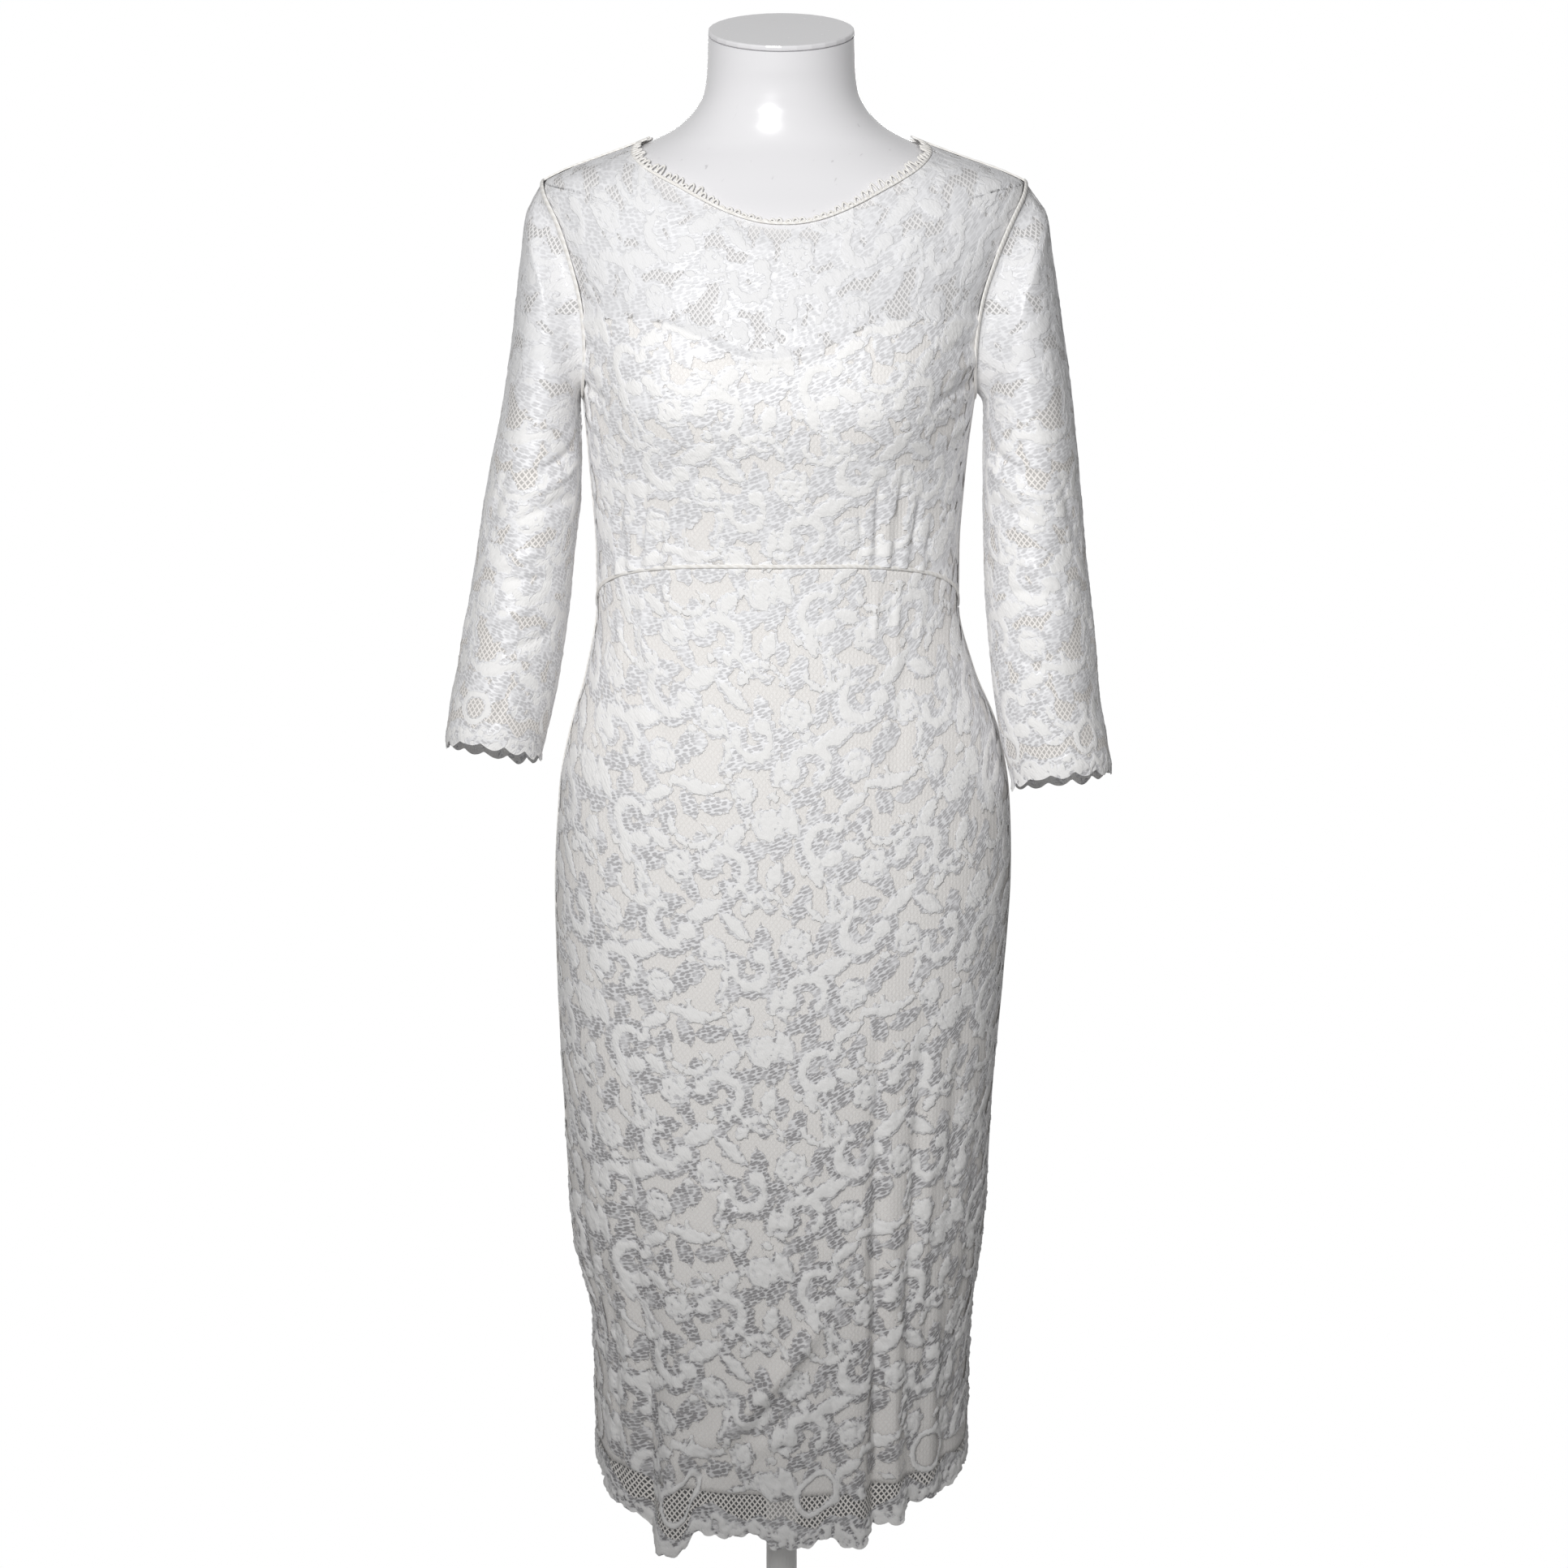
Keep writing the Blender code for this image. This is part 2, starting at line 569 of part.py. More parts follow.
def cuff_edge(side):
    """The cuff's scalloped edge, with finer points than the sleeve's rings."""
    ring = sleeve_ring(side, 1.0)
    count = SLEEVE_STEPS * CUFF_FINE
    fine = np.stack([np.interp(np.arange(count) / CUFF_FINE, np.arange(SLEEVE_STEPS + 1),
                               np.append(ring[:, axis], ring[0, axis])) for axis in range(3)], axis=-1)
    step = np.linalg.norm(np.roll(fine, -1, axis=0) - fine, axis=-1)
    length = np.cumsum(step)
    lobes = round(length[-1] / CUFF_SCALLOP / 2) * 2
    drop = CUFF_SCALLOP_DROP * np.abs(np.sin(math.pi * lobes * length / length[-1]))
    fine[:, 2] -= CUFF_BORDER + drop
    return fine


def ring_normals(rows, first_normal):
    """Outward normals of a tube's rings; the first ring has the body's own."""
    normals = [first_normal]
    for k in range(1, len(rows)):
        after = rows[min(k + 1, len(rows) - 1)]
        along = after - rows[k - 1]
        around = np.roll(rows[k], -1, axis=0) - np.roll(rows[k], 1, axis=0)
        normal = np.cross(around, along)
        normals.append(normal / np.linalg.norm(normal, axis=-1, keepdims=True))
    middle = len(rows) // 2
    outward = rows[middle] - rows[middle].mean(axis=0)
    way = np.sign(np.sum(outward * normals[middle]))
    return [first_normal] + [way * normal for normal in normals[1:]]


def build_sleeve(name, side, lace):
    edge, normal, across = armhole_loop(side)
    turn = np.arange(SLEEVE_STEPS) * 2.0 * math.pi / SLEEVE_STEPS
    low = ((1.0 + np.cos(turn)) / 2)[:, None]
    start = edge + across * SEAM_GAP
    middle_height = (ARMPIT + SHOULDER_TIP) / 2 - COLLAR_DROP
    low_x = COLLAR_LOW_LEFT if side > 0 else COLLAR_LOW_RIGHT
    high_x = COLLAR_HIGH_LEFT if side > 0 else COLLAR_HIGH_RIGHT
    half = (high_x - low_x) / 2
    collar = np.stack([side * (low_x + half - half * np.cos(turn)), -COLLAR_DEPTH * np.sin(turn),
                       middle_height - COLLAR_TALL * np.cos(turn)], axis=-1)
    first = sleeve_ring(side, 0.0)
    lead = first - collar
    lead = lead / np.linalg.norm(lead, axis=-1, keepdims=True)
    leave = LEAVE_TIP + (LEAVE_ARMPIT - LEAVE_TIP) * low**2
    arrive = ARRIVE_TIP + (ARRIVE_ARMPIT - ARRIVE_TIP) * low**2
    rows = [start]
    for k in range(1, SLEEVE_ROWS_CAP + 1):
        t = k / SLEEVE_ROWS_CAP
        rows.append(bezier(start, start + across * leave, collar - lead * arrive, collar, t))
    below = sleeve_ring(side, SLEEVE_LEAD) - first
    below = below / np.linalg.norm(below, axis=-1, keepdims=True)
    reach = np.linalg.norm(first - collar, axis=-1, keepdims=True) / 3
    for k in range(1, SLEEVE_ROWS_UPPER + 1):
        t = k / SLEEVE_ROWS_UPPER
        rows.append(bezier(collar, collar + lead * reach, first - below * reach, first, t))
    for k in range(1, SLEEVE_ROWS_LOWER + 1):
        rows.append(sleeve_ring(side, k / SLEEVE_ROWS_LOWER))
    normals = ring_normals(rows, normal)
    inner = [row - way * LACE_WALL for row, way in zip(rows, normals)]
    fine_edge = cuff_edge(side)
    last = normals[-1]
    fine_way = np.stack([np.interp(np.arange(SLEEVE_STEPS * CUFF_FINE) / CUFF_FINE,
                                   np.arange(SLEEVE_STEPS + 1), np.append(last[:, axis], last[0, axis]))
                         for axis in range(3)], axis=-1)
    rows.append(fine_edge)
    inner.append(fine_edge - fine_way * LACE_WALL)
    wall_object(name, rows, inner, True, lace)


def form_depth(height):
    """The form lies deepest under the lining, less at the shoulders, and its neck has its own size."""
    bare = np.clip((height - LINING_TOP_LIMIT) / FORM_BARE_FADE, 0.0, 1.0)
    neck = np.clip((height - NECK_SIDE) / FORM_NECK_FADE, 0.0, 1.0)
    return (FORM_DEPTH_LINED + (FORM_DEPTH_BARE - FORM_DEPTH_LINED) * bare) * (1.0 - neck)


def build_form(plastic):
    """Torso and neck as stacked rings, with a rounded lower edge and a tilted flat top."""
    angle = np.arange(FORM_STEPS) * 360.0 / FORM_STEPS
    rings = []
    low = FORM_HEIGHTS[0]
    lowest = body_point(angle, low) - body_normal(angle, low) * form_depth(low)
    for part in FORM_EDGE_ROWS:
        turn = part * math.pi / 2
        ring = lowest.copy()
        ring[:, :2] *= 1.0 - FORM_EDGE * (1.0 - math.sin(turn)) / FORM_HALF
        ring[:, 2] = FORM_BOTTOM + FORM_EDGE * (1.0 - math.cos(turn))
        rings.append(ring)
    for height in FORM_HEIGHTS:
        rings.append(body_point(angle, height) - body_normal(angle, height) * form_depth(height))
    for height in NECK_HEIGHTS:
        ring = body_point(angle, height)
        part = (height - FORM_HEIGHTS[-1]) / (NECK_HEIGHTS[-1] - FORM_HEIGHTS[-1])
        ring[:, 2] += math.tan(NECK_TILT) * ring[:, 1] * part
        rings.append(ring)
    points = [point for ring in rings for point in ring]
    faces = []
    for k in range(len(rings) - 1):
        for i in range(FORM_STEPS):
            j = (i + 1) % FORM_STEPS
            faces.append((k * FORM_STEPS + i, k * FORM_STEPS + j,
                          (k + 1) * FORM_STEPS + j, (k + 1) * FORM_STEPS + i))
    faces.append(tuple(range(FORM_STEPS))[::-1])
    faces.append(tuple((len(rings) - 1) * FORM_STEPS + i for i in range(FORM_STEPS)))
    mesh_object("form_torso", points, faces, plastic, 35.0)


def turned_piece(name, radius, bottom, height, edge, material, steps):
    bpy.ops.mesh.primitive_cylinder_add(vertices=steps, radius=radius, depth=height,
                                        location=(0.0, 0.0, bottom + height / 2))
    item = bpy.context.object
    item.name = name
    item.data.name = name
    for collection in list(item.users_collection):
        collection.objects.unlink(item)
    bpy.data.collections[OBJECT_NAME].objects.link(item)
    if edge > 0:
        bevel = item.modifiers.new("edge", "BEVEL")
        bevel.width = edge
        bevel.segments = 2
        bevel.limit_method = "ANGLE"
        bevel.angle_limit = math.radians(40.0)
    item.data.materials.append(material)
    item.data.shade_smooth()
    item.data.set_sharp_from_angle(angle=math.radians(35.0))
    return item


def build_stand(plastic, paint):
    cap = turned_piece("form_neck_cap", CAP_RADIUS, -CAP_THICKNESS / 2, CAP_THICKNESS, CAP_EDGE,
                       plastic, CAP_STEPS)
    lift = CAP_THICKNESS / 2 + PLAY
    cap.location = (0.0, -math.sin(NECK_TILT) * lift, NECK_HEIGHTS[-1] + math.cos(NECK_TILT) * lift)
    cap.rotation_euler = (NECK_TILT, 0.0, 0.0)
    collar_bottom = FORM_BOTTOM - PLAY - COLLAR_HEIGHT
    turned_piece("stand_collar", COLLAR_RADIUS, collar_bottom, COLLAR_HEIGHT, COLLAR_EDGE,
                 paint, COLLAR_STEPS)
    pole_bottom = BASE_THICKNESS + PLAY
    pole_height = collar_bottom - PLAY - pole_bottom
    turned_piece("stand_pole", POLE_RADIUS, pole_bottom, pole_height, 0.0, paint, POLE_STEPS)
    turned_piece("stand_base", BASE_RADIUS, 0.0, BASE_THICKNESS, BASE_EDGE, paint, BASE_STEPS)


def make_material(name, colour, roughness, metallic=0.0):
    material = bpy.data.materials.new(name)
    material.use_nodes = True
    shader = material.node_tree.nodes["Principled BSDF"]
    shader.inputs["Base Color"].default_value = (*colour, 1.0)
    shader.inputs["Roughness"].default_value = roughness
    shader.inputs["Metallic"].default_value = metallic
    material.diffuse_color = (*colour, 1.0)
    return material


def main():
    for item in list(bpy.data.objects):
        bpy.data.objects.remove(item, do_unlink=True)
    bpy.context.scene.collection.children.link(bpy.data.collections.new(OBJECT_NAME))
    lace = make_material("white_lace", (0.86, 0.86, 0.85), 0.75)
    knit = make_material("cream_lining_knit", (0.85, 0.81, 0.77), 0.80)
    plastic = make_material("white_gloss_plastic", (0.86, 0.85, 0.87), 0.22)
    paint = make_material("white_painted_steel", (0.84, 0.84, 0.84), 0.40)
    build_dress(lace, knit)
    build_sleeve("right_sleeve", -1, lace)
    build_sleeve("left_sleeve", 1, lace)
    build_form(plastic)
    build_stand(plastic, paint)


main()
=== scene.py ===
"""Looks of a lace midi dress on a limbless dress form. Metres, +Z up, the front faces -Y.

Right and left are the wearer's, so the right sleeve is at -X. Angles are degrees from the front,
towards +X.
"""

import math

import bpy
import numpy as np
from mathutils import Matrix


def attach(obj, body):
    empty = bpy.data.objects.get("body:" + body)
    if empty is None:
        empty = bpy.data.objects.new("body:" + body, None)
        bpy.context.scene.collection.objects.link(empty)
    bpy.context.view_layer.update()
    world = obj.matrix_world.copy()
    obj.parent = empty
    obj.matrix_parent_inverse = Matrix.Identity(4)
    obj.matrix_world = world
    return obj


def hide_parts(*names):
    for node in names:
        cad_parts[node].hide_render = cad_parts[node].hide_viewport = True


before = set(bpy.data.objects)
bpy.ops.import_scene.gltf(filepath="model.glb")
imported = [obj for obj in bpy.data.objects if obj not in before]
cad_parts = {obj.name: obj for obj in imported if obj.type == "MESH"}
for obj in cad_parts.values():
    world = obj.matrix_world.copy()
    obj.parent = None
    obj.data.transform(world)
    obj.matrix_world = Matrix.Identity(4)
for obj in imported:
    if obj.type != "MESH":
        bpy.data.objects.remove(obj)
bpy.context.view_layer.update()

# Layers under the lace's outer face
LACE_SINK = 0.0004             # the net lies a little under the face, and the work stands up from it
LINING_DEPTH = 0.0011
LINING_WALL = 0.0009
EDGING_WALL = 0.0034           # the lining's elastic top edge presses on the form
EDGING_TALL = 0.008
FORM_DEPTH_LINED = 0.0062
FORM_DEPTH_BARE = 0.0047
SEAM_GAP = 0.0002

# The garment's lines, heights above the floor
WAIST_FRONT = 1.1415
WAIST_SIDE = 1.0985
WAIST_BACK = 1.108
NECK_FRONT = 1.397
NECK_SIDE = 1.4555
NECK_BACK = 1.436
ARMPIT = 1.262
SHOULDER_TIP = 1.424
LINING_TOP = 1.318
HEM_BACK = 0.407
LINING_HEM_FRONT = 0.409
LINING_HEM_SIDE = 0.428
LINING_HEM_BACK = 0.432
HEM_SCALLOP = 0.087
HEM_SCALLOP_DROP = 0.008
SMALL_SCALLOP = 0.0135
SMALL_SCALLOP_DROP = 0.0026
ARMHOLE_MIDDLE = (ARMPIT + SHOULDER_TIP) / 2
ARMHOLE_HALF_ANGLE = 19.5
ARMHOLE_EGG = 0.22
NECK_ROW_STEP = 0.015          # how far the front centre falls while the edge follows the shoulder seam
HIP_HALF_WIDTH = 0.18

# Level sections of the worn dress's outer face, and of the form's neck above it
BODY_COLUMNS = ("height", "half_width", "shift", "front", "back", "squareness")
BODY = (
    (0.330, 0.150, 0.001, 0.122, 0.124, 2.30),
    (0.430, 0.151, 0.000, 0.121, 0.124, 2.30),
    (0.520, 0.153, 0.000, 0.119, 0.123, 2.35),
    (0.600, 0.166, -0.003, 0.119, 0.124, 2.35),
    (0.700, 0.171, -0.003, 0.118, 0.127, 2.35),
    (0.800, 0.177, -0.001, 0.116, 0.130, 2.35),
    (0.880, 0.180, 0.001, 0.113, 0.131, 2.35),
    (0.950, 0.177, 0.002, 0.108, 0.126, 2.30),
    (1.000, 0.168, 0.002, 0.103, 0.117, 2.25),
    (1.050, 0.151, -0.001, 0.099, 0.105, 2.20),
    (1.100, 0.141, -0.003, 0.097, 0.096, 2.20),
    (1.140, 0.141, -0.003, 0.099, 0.094, 2.20),
    (1.200, 0.145, -0.003, 0.110, 0.099, 2.25),
    (1.260, 0.151, -0.002, 0.122, 0.107, 2.30),
    (1.300, 0.157, -0.001, 0.121, 0.112, 2.35),
    (1.340, 0.167, 0.000, 0.112, 0.115, 2.35),
    (1.370, 0.178, 0.001, 0.102, 0.115, 2.30),
    (1.400, 0.186, 0.002, 0.090, 0.112, 2.25),
    (1.412, 0.188, 0.002, 0.085, 0.109, 2.20),
    (1.424, 0.185, 0.002, 0.0785, 0.104, 2.20),
    (1.432, 0.171, 0.001, 0.0745, 0.099, 2.20),
    (1.4435, 0.141, 0.000, 0.068, 0.091, 2.15),
    (1.4555, 0.110, 0.000, 0.0605, 0.082, 2.10),
    (1.464, 0.086, 0.000, 0.0560, 0.075, 2.05),
    (1.4705, 0.0735, 0.000, 0.0530, 0.069, 2.00),
    (1.480, 0.0645, 0.000, 0.0510, 0.062, 2.00),
    (1.493, 0.0583, 0.000, 0.0510, 0.058, 2.00),
    (1.510, 0.0563, 0.000, 0.0530, 0.056, 2.00),
    (1.545, 0.0553, 0.000, 0.0553, 0.0553, 2.00),
)
BUST_ANGLE = 38.0
BUST_HEIGHT = 1.268
BUST_RISE = 0.009
BUST_SPREAD = 19.0
BUST_TALL = 0.042

# Long folds of the skirt, growing down to the hem; a positive rise is a ridge
# Columns: angle at its top, angle at the hem, height of its top, spread in degrees, rise
FOLDS = (
    (24.0, 27.5, 0.64, 5.0, 0.006),
    (34.0, 36.0, 0.80, 4.0, -0.011),
    (41.0, 42.5, 0.62, 3.5, 0.004),
    (46.0, 49.0, 0.86, 4.5, -0.008),
    (60.0, 63.0, 0.82, 5.0, -0.006),
    (-32.0, -40.5, 0.60, 5.0, 0.009),
    (-44.0, -51.0, 0.72, 4.5, -0.010),
    (-68.0, -64.0, 0.66, 6.0, 0.004),
    (-6.0, -12.0, 0.52, 7.0, -0.005),
    (118.0, 120.0, 0.84, 7.0, -0.008),
    (142.0, 138.0, 0.66, 7.0, 0.007),
    (165.0, 162.0, 0.80, 7.0, -0.008),
    (192.0, 196.0, 0.70, 8.0, 0.007),
    (214.0, 217.0, 0.86, 7.0, -0.009),
    (238.0, 236.0, 0.64, 7.0, 0.006),
)
HEM_LEVEL = 0.36
FOLD_GROWTH = 1.3

# Gathers that stand on the waist seam. Columns: angle, reach upwards, rise
GATHERS = (
    (-66.0, 0.052, 0.0026),
    (-59.0, 0.078, 0.0034),
    (-52.0, 0.060, 0.0028),
    (-45.0, 0.045, 0.0022),
    (37.0, 0.044, 0.0022),
    (44.0, 0.080, 0.0036),
    (51.0, 0.062, 0.0030),
    (58.0, 0.040, 0.0022),
)
GATHER_SPREAD = 2.1
GATHER_GROWTH = 1.2

# Short creases between two places of the body: half width and rise in mm, and a sideways bow in mm
# Columns: angle, height, to angle, to height, half width, rise, bow
CREASES = (
    (20.0, 0.566, -6.0, 0.488, 10.0, 2.2, 2.0),
    (16.0, 0.556, -27.0, 0.443, 7.4, 7.6, 3.0),
    (14.0, 0.535, -25.0, 0.424, 6.4, -1.4, 3.0),
    (12.0, 0.494, -10.0, 0.454, 4.0, -3.6, 2.0),
    (12.0, 0.480, -13.0, 0.440, 6.0, 2.4, 2.0),
    (-22.0, 0.450, -34.0, 0.402, 3.6, -3.8, -2.0),
    (-28.0, 0.460, -42.0, 0.396, 6.0, 3.0, -3.0),
    (-25.0, 0.674, -13.0, 0.642, 4.0, -2.6, -2.0),
    (-26.0, 0.662, -12.0, 0.631, 5.0, 1.8, -2.0),
    (-4.0, 0.628, 11.0, 0.590, 4.0, -2.4, 3.0),
    (-5.0, 0.614, 9.0, 0.578, 5.0, 1.8, 3.0),
    (35.0, 0.800, 35.8, 0.368, 4.4, -3.8, 2.0),
    (30.0, 0.700, 31.5, 0.400, 5.0, 2.0, 2.0),
    (49.5, 0.810, 46.0, 0.500, 5.4, -3.6, 2.0),
    (44.0, 0.500, 43.0, 0.384, 4.6, -2.0, 0.0),
    (56.5, 0.690, 53.0, 0.390, 5.4, -3.4, -2.0),
    (62.0, 0.810, 57.0, 0.540, 6.0, -2.0, 2.0),
    (70.0, 0.700, 67.0, 0.440, 6.0, -2.0, 1.0),
    (18.0, 0.520, 24.0, 0.400, 5.0, -2.0, -2.0),
    (-52.5, 0.720, -49.6, 0.540, 5.0, -4.2, 0.0),
    (-50.6, 0.560, -50.8, 0.368, 3.4, -4.2, 0.0),
    (-57.0, 0.640, -56.0, 0.410, 5.0, 2.8, 2.0),
    (-62.0, 0.600, -60.0, 0.400, 4.0, -2.4, -2.0),
    (-72.0, 0.700, -67.0, 0.430, 6.0, -3.2, 0.0),
    (-61.0, 1.085, -44.0, 0.985, 7.0, -1.5, 4.0),
    (56.0, 1.085, 40.0, 0.970, 7.0, -1.6, -4.0),
    (-47.0, 1.130, -43.0, 1.082, 3.4, 1.5, 0.0),
    (-56.0, 1.122, -54.0, 1.060, 3.4, 1.6, 0.0),
    (-66.0, 1.108, -65.0, 1.056, 3.2, 1.4, 0.0),
    (42.0, 1.130, 40.0, 1.076, 3.2, 1.4, 0.0),
    (50.0, 1.124, 48.0, 1.060, 3.4, 1.7, 0.0),
    (59.0, 1.116, 58.0, 1.070, 3.0, 1.3, 0.0),
    (-66.4, 1.146, -57.0, 1.205, 3.0, -2.2, 1.0),
    (-55.0, 1.146, -47.5, 1.214, 3.0, -2.6, 1.0),
    (-48.5, 1.147, -42.0, 1.196, 2.8, -2.2, 1.0),
    (-40.0, 1.147, -34.5, 1.190, 2.8, -2.0, 1.0),
    (-36.0, 1.148, -32.0, 1.176, 2.8, 1.6, 0.0),
    (35.0, 1.148, 31.0, 1.196, 2.8, -1.8, -1.0),
    (40.6, 1.147, 37.6, 1.212, 2.8, -2.4, 0.0),
    (47.6, 1.147, 46.0, 1.216, 3.0, -2.6, 0.0),
    (54.6, 1.146, 54.6, 1.198, 2.8, -2.2, 0.0),
    (61.0, 1.142, 62.0, 1.180, 2.8, -1.6, 0.0),
    (-86.0, 1.276, -58.0, 1.261, 4.0, -2.6, 2.0),
    (-84.0, 1.290, -60.0, 1.281, 4.4, 1.8, 2.0),
    (-82.0, 1.303, -60.0, 1.300, 4.0, -1.6, 2.0),
    (-84.0, 1.252, -62.0, 1.236, 5.0, 1.5, 2.0),
    (80.0, 1.278, 50.0, 1.261, 4.0, -2.6, -2.0),
    (78.0, 1.292, 52.0, 1.281, 4.4, 1.8, -2.0),
    (76.0, 1.304, 52.0, 1.301, 4.0, -1.6, -2.0),
    (82.0, 1.250, 58.0, 1.232, 5.0, 1.5, -2.0),
    (-62.0, 1.404, -38.0, 1.362, 6.0, 1.4, 3.0),
    (60.0, 1.406, 40.0, 1.356, 6.0, 1.4, -3.0),
    (130.0, 1.050, 150.0, 0.960, 7.0, -2.0, 4.0),
    (146.0, 1.098, 149.0, 1.030, 3.6, 1.7, 0.0),
    (157.0, 1.100, 159.0, 1.040, 3.6, 1.9, 0.0),
    (203.0, 1.100, 201.0, 1.036, 3.6, 1.9, 0.0),
    (214.0, 1.098, 211.0, 1.048, 3.6, 1.6, 0.0),
    (232.0, 1.052, 208.0, 0.952, 7.0, -2.0, -4.0),
    (150.0, 1.112, 146.0, 1.172, 3.2, 2.2, 0.0),
    (158.0, 1.112, 156.0, 1.184, 3.2, 2.5, 0.0),
    (167.0, 1.112, 166.0, 1.160, 3.2, 1.9, 0.0),
    (194.0, 1.112, 196.0, 1.166, 3.2, 2.0, 0.0),
    (203.0, 1.112, 206.0, 1.186, 3.2, 2.5, 0.0),
    (211.0, 1.112, 216.0, 1.164, 3.2, 2.0, 0.0),
    (152.0, 1.232, 205.0, 1.222, 7.0, -1.9, 5.0),
    (160.0, 1.205, 196.0, 1.214, 6.0, 1.7, -4.0),
    (104.0, 1.286, 128.0, 1.262, 4.4, -2.4, 2.0),
    (256.0, 1.286, 233.0, 1.260, 4.4, -2.4, -2.0),
    (120.0, 0.700, 122.0, 0.420, 5.0, -3.2, 2.0),
    (133.0, 0.560, 130.0, 0.410, 5.0, 2.6, 0.0),
    (151.0, 0.740, 149.0, 0.430, 5.0, -3.4, 2.0),
    (176.0, 0.640, 178.0, 0.412, 5.0, 3.0, -2.0),
    (186.0, 0.700, 184.0, 0.440, 4.6, -2.8, 2.0),
    (206.0, 0.620, 208.0, 0.410, 5.0, 2.4, 0.0),
    (226.0, 0.760, 227.0, 0.420, 5.0, -3.4, -2.0),
    (246.0, 0.650, 248.0, 0.420, 5.0, 2.6, 2.0),
)
MM_PER_DEGREE = 2.5            # round the body, for the creases

# The front hem, uneven as it is worn
HEM_COLUMNS = ("angle", "height")
HEM = (
    (-90.0, 0.408), (-74.0, 0.404), (-65.0, 0.391), (-53.0, 0.378), (-49.5, 0.366), (-46.0, 0.361),
    (-42.0, 0.357), (-38.0, 0.357), (-34.5, 0.363), (-31.5, 0.378), (-20.0, 0.3755), (-10.0, 0.378),
    (-3.0, 0.367), (8.0, 0.368), (17.5, 0.3765), (21.5, 0.3695), (25.0, 0.3675), (29.0, 0.369),
    (33.0, 0.379), (43.0, 0.382), (47.0, 0.392), (64.0, 0.395), (76.0, 0.405), (90.0, 0.410),
)

# Top edge of the front bodice's lining, above or below its top at the sides
SWEETHEART_COLUMNS = ("angle", "height")
SWEETHEART = (
    (-90.0, 0.0000), (-70.0, 0.0040), (-48.0, 0.0090), (-27.0, -0.0040), (-17.0, -0.0150),
    (-7.0, -0.0205), (10.0, -0.0160), (26.0, 0.0005), (40.0, 0.0085), (58.0, 0.0060),
    (70.0, 0.0030), (90.0, 0.0000),
)
SWEETHEART_RIDGE = 0.0010      # the lining's top edge lifts the lace, which sinks again above it
SWEETHEART_SPREAD = 0.0034
SWEETHEART_SINK = 0.0022
SWEETHEART_SINK_TALL = 0.007
NECK_ROUND = 2.3
NECK_SINK = 0.0030             # the neckline's edge falls onto the form
NECK_SINK_TALL = 0.020

# Sections of the sleeves from the armpit to the cuff; the cuts tilt them forwards and inwards
SLEEVE_COLUMNS = ("height", "right_outer", "right_inner", "left_outer", "left_inner",
                  "middle_y", "half_depth", "cut_y", "cut_x")
SLEEVES = (
    (1.236, 0.2195, 0.1545, 0.2275, 0.1560, 0.000, 0.0620, 0.00, 0.00),
    (1.190, 0.2290, 0.1550, 0.2325, 0.1560, -0.003, 0.0600, 0.04, 0.02),
    (1.145, 0.2360, 0.1600, 0.2370, 0.1570, -0.008, 0.0570, 0.08, 0.04),
    (1.100, 0.2430, 0.1650, 0.2425, 0.1600, -0.014, 0.0535, 0.13, 0.07),
    (1.060, 0.2500, 0.1710, 0.2460, 0.1645, -0.021, 0.0500, 0.18, 0.10),
    (1.025, 0.2570, 0.1780, 0.2515, 0.1700, -0.028, 0.0465, 0.23, 0.13),
    (0.994, 0.2610, 0.1860, 0.2570, 0.1790, -0.035, 0.0435, 0.27, 0.15),
)
LEFT_SLEEVE_LONGER = 0.022

# The ring beside the armhole that the sleeve's cap bends over, and how far the cap runs straight
# where it leaves the seam and where it arrives at the ring
COLLAR_LOW = {"right": 0.1552, "left": 0.1560}
COLLAR_HIGH = {"right": 0.1965, "left": 0.2045}
COLLAR_DEPTH = 0.0600
COLLAR_TALL = 0.0700
COLLAR_DROP = 0.0190
LEAVE_TIP = 0.0120
LEAVE_ARMPIT = 0.0045
ARRIVE_TIP = 0.0140
ARRIVE_ARMPIT = 0.0050
SLEEVE_LEAD = 0.12
CUFF_SCALLOP = 0.0190
CUFF_SCALLOP_DROP = 0.0042
CUFF_BORDER = 0.004

# Wide folds of the sleeves
# Columns: along from the armpit to the cuff, degrees round, spread along, spread round, rise
SLEEVE_FOLDS = (
    (0.16, 300.0, 0.05, 22.0, 0.0030),
    (0.28, 320.0, 0.05, 24.0, -0.0024),
    (0.40, 285.0, 0.06, 26.0, 0.0026),
    (0.58, 240.0, 0.07, 24.0, -0.0024),
    (0.70, 300.0, 0.07, 26.0, 0.0022),
    (0.34, 120.0, 0.07, 26.0, -0.0026),
    (0.55, 100.0, 0.08, 24.0, 0.0024),
    (0.80, 150.0, 0.07, 24.0, -0.0018),
)

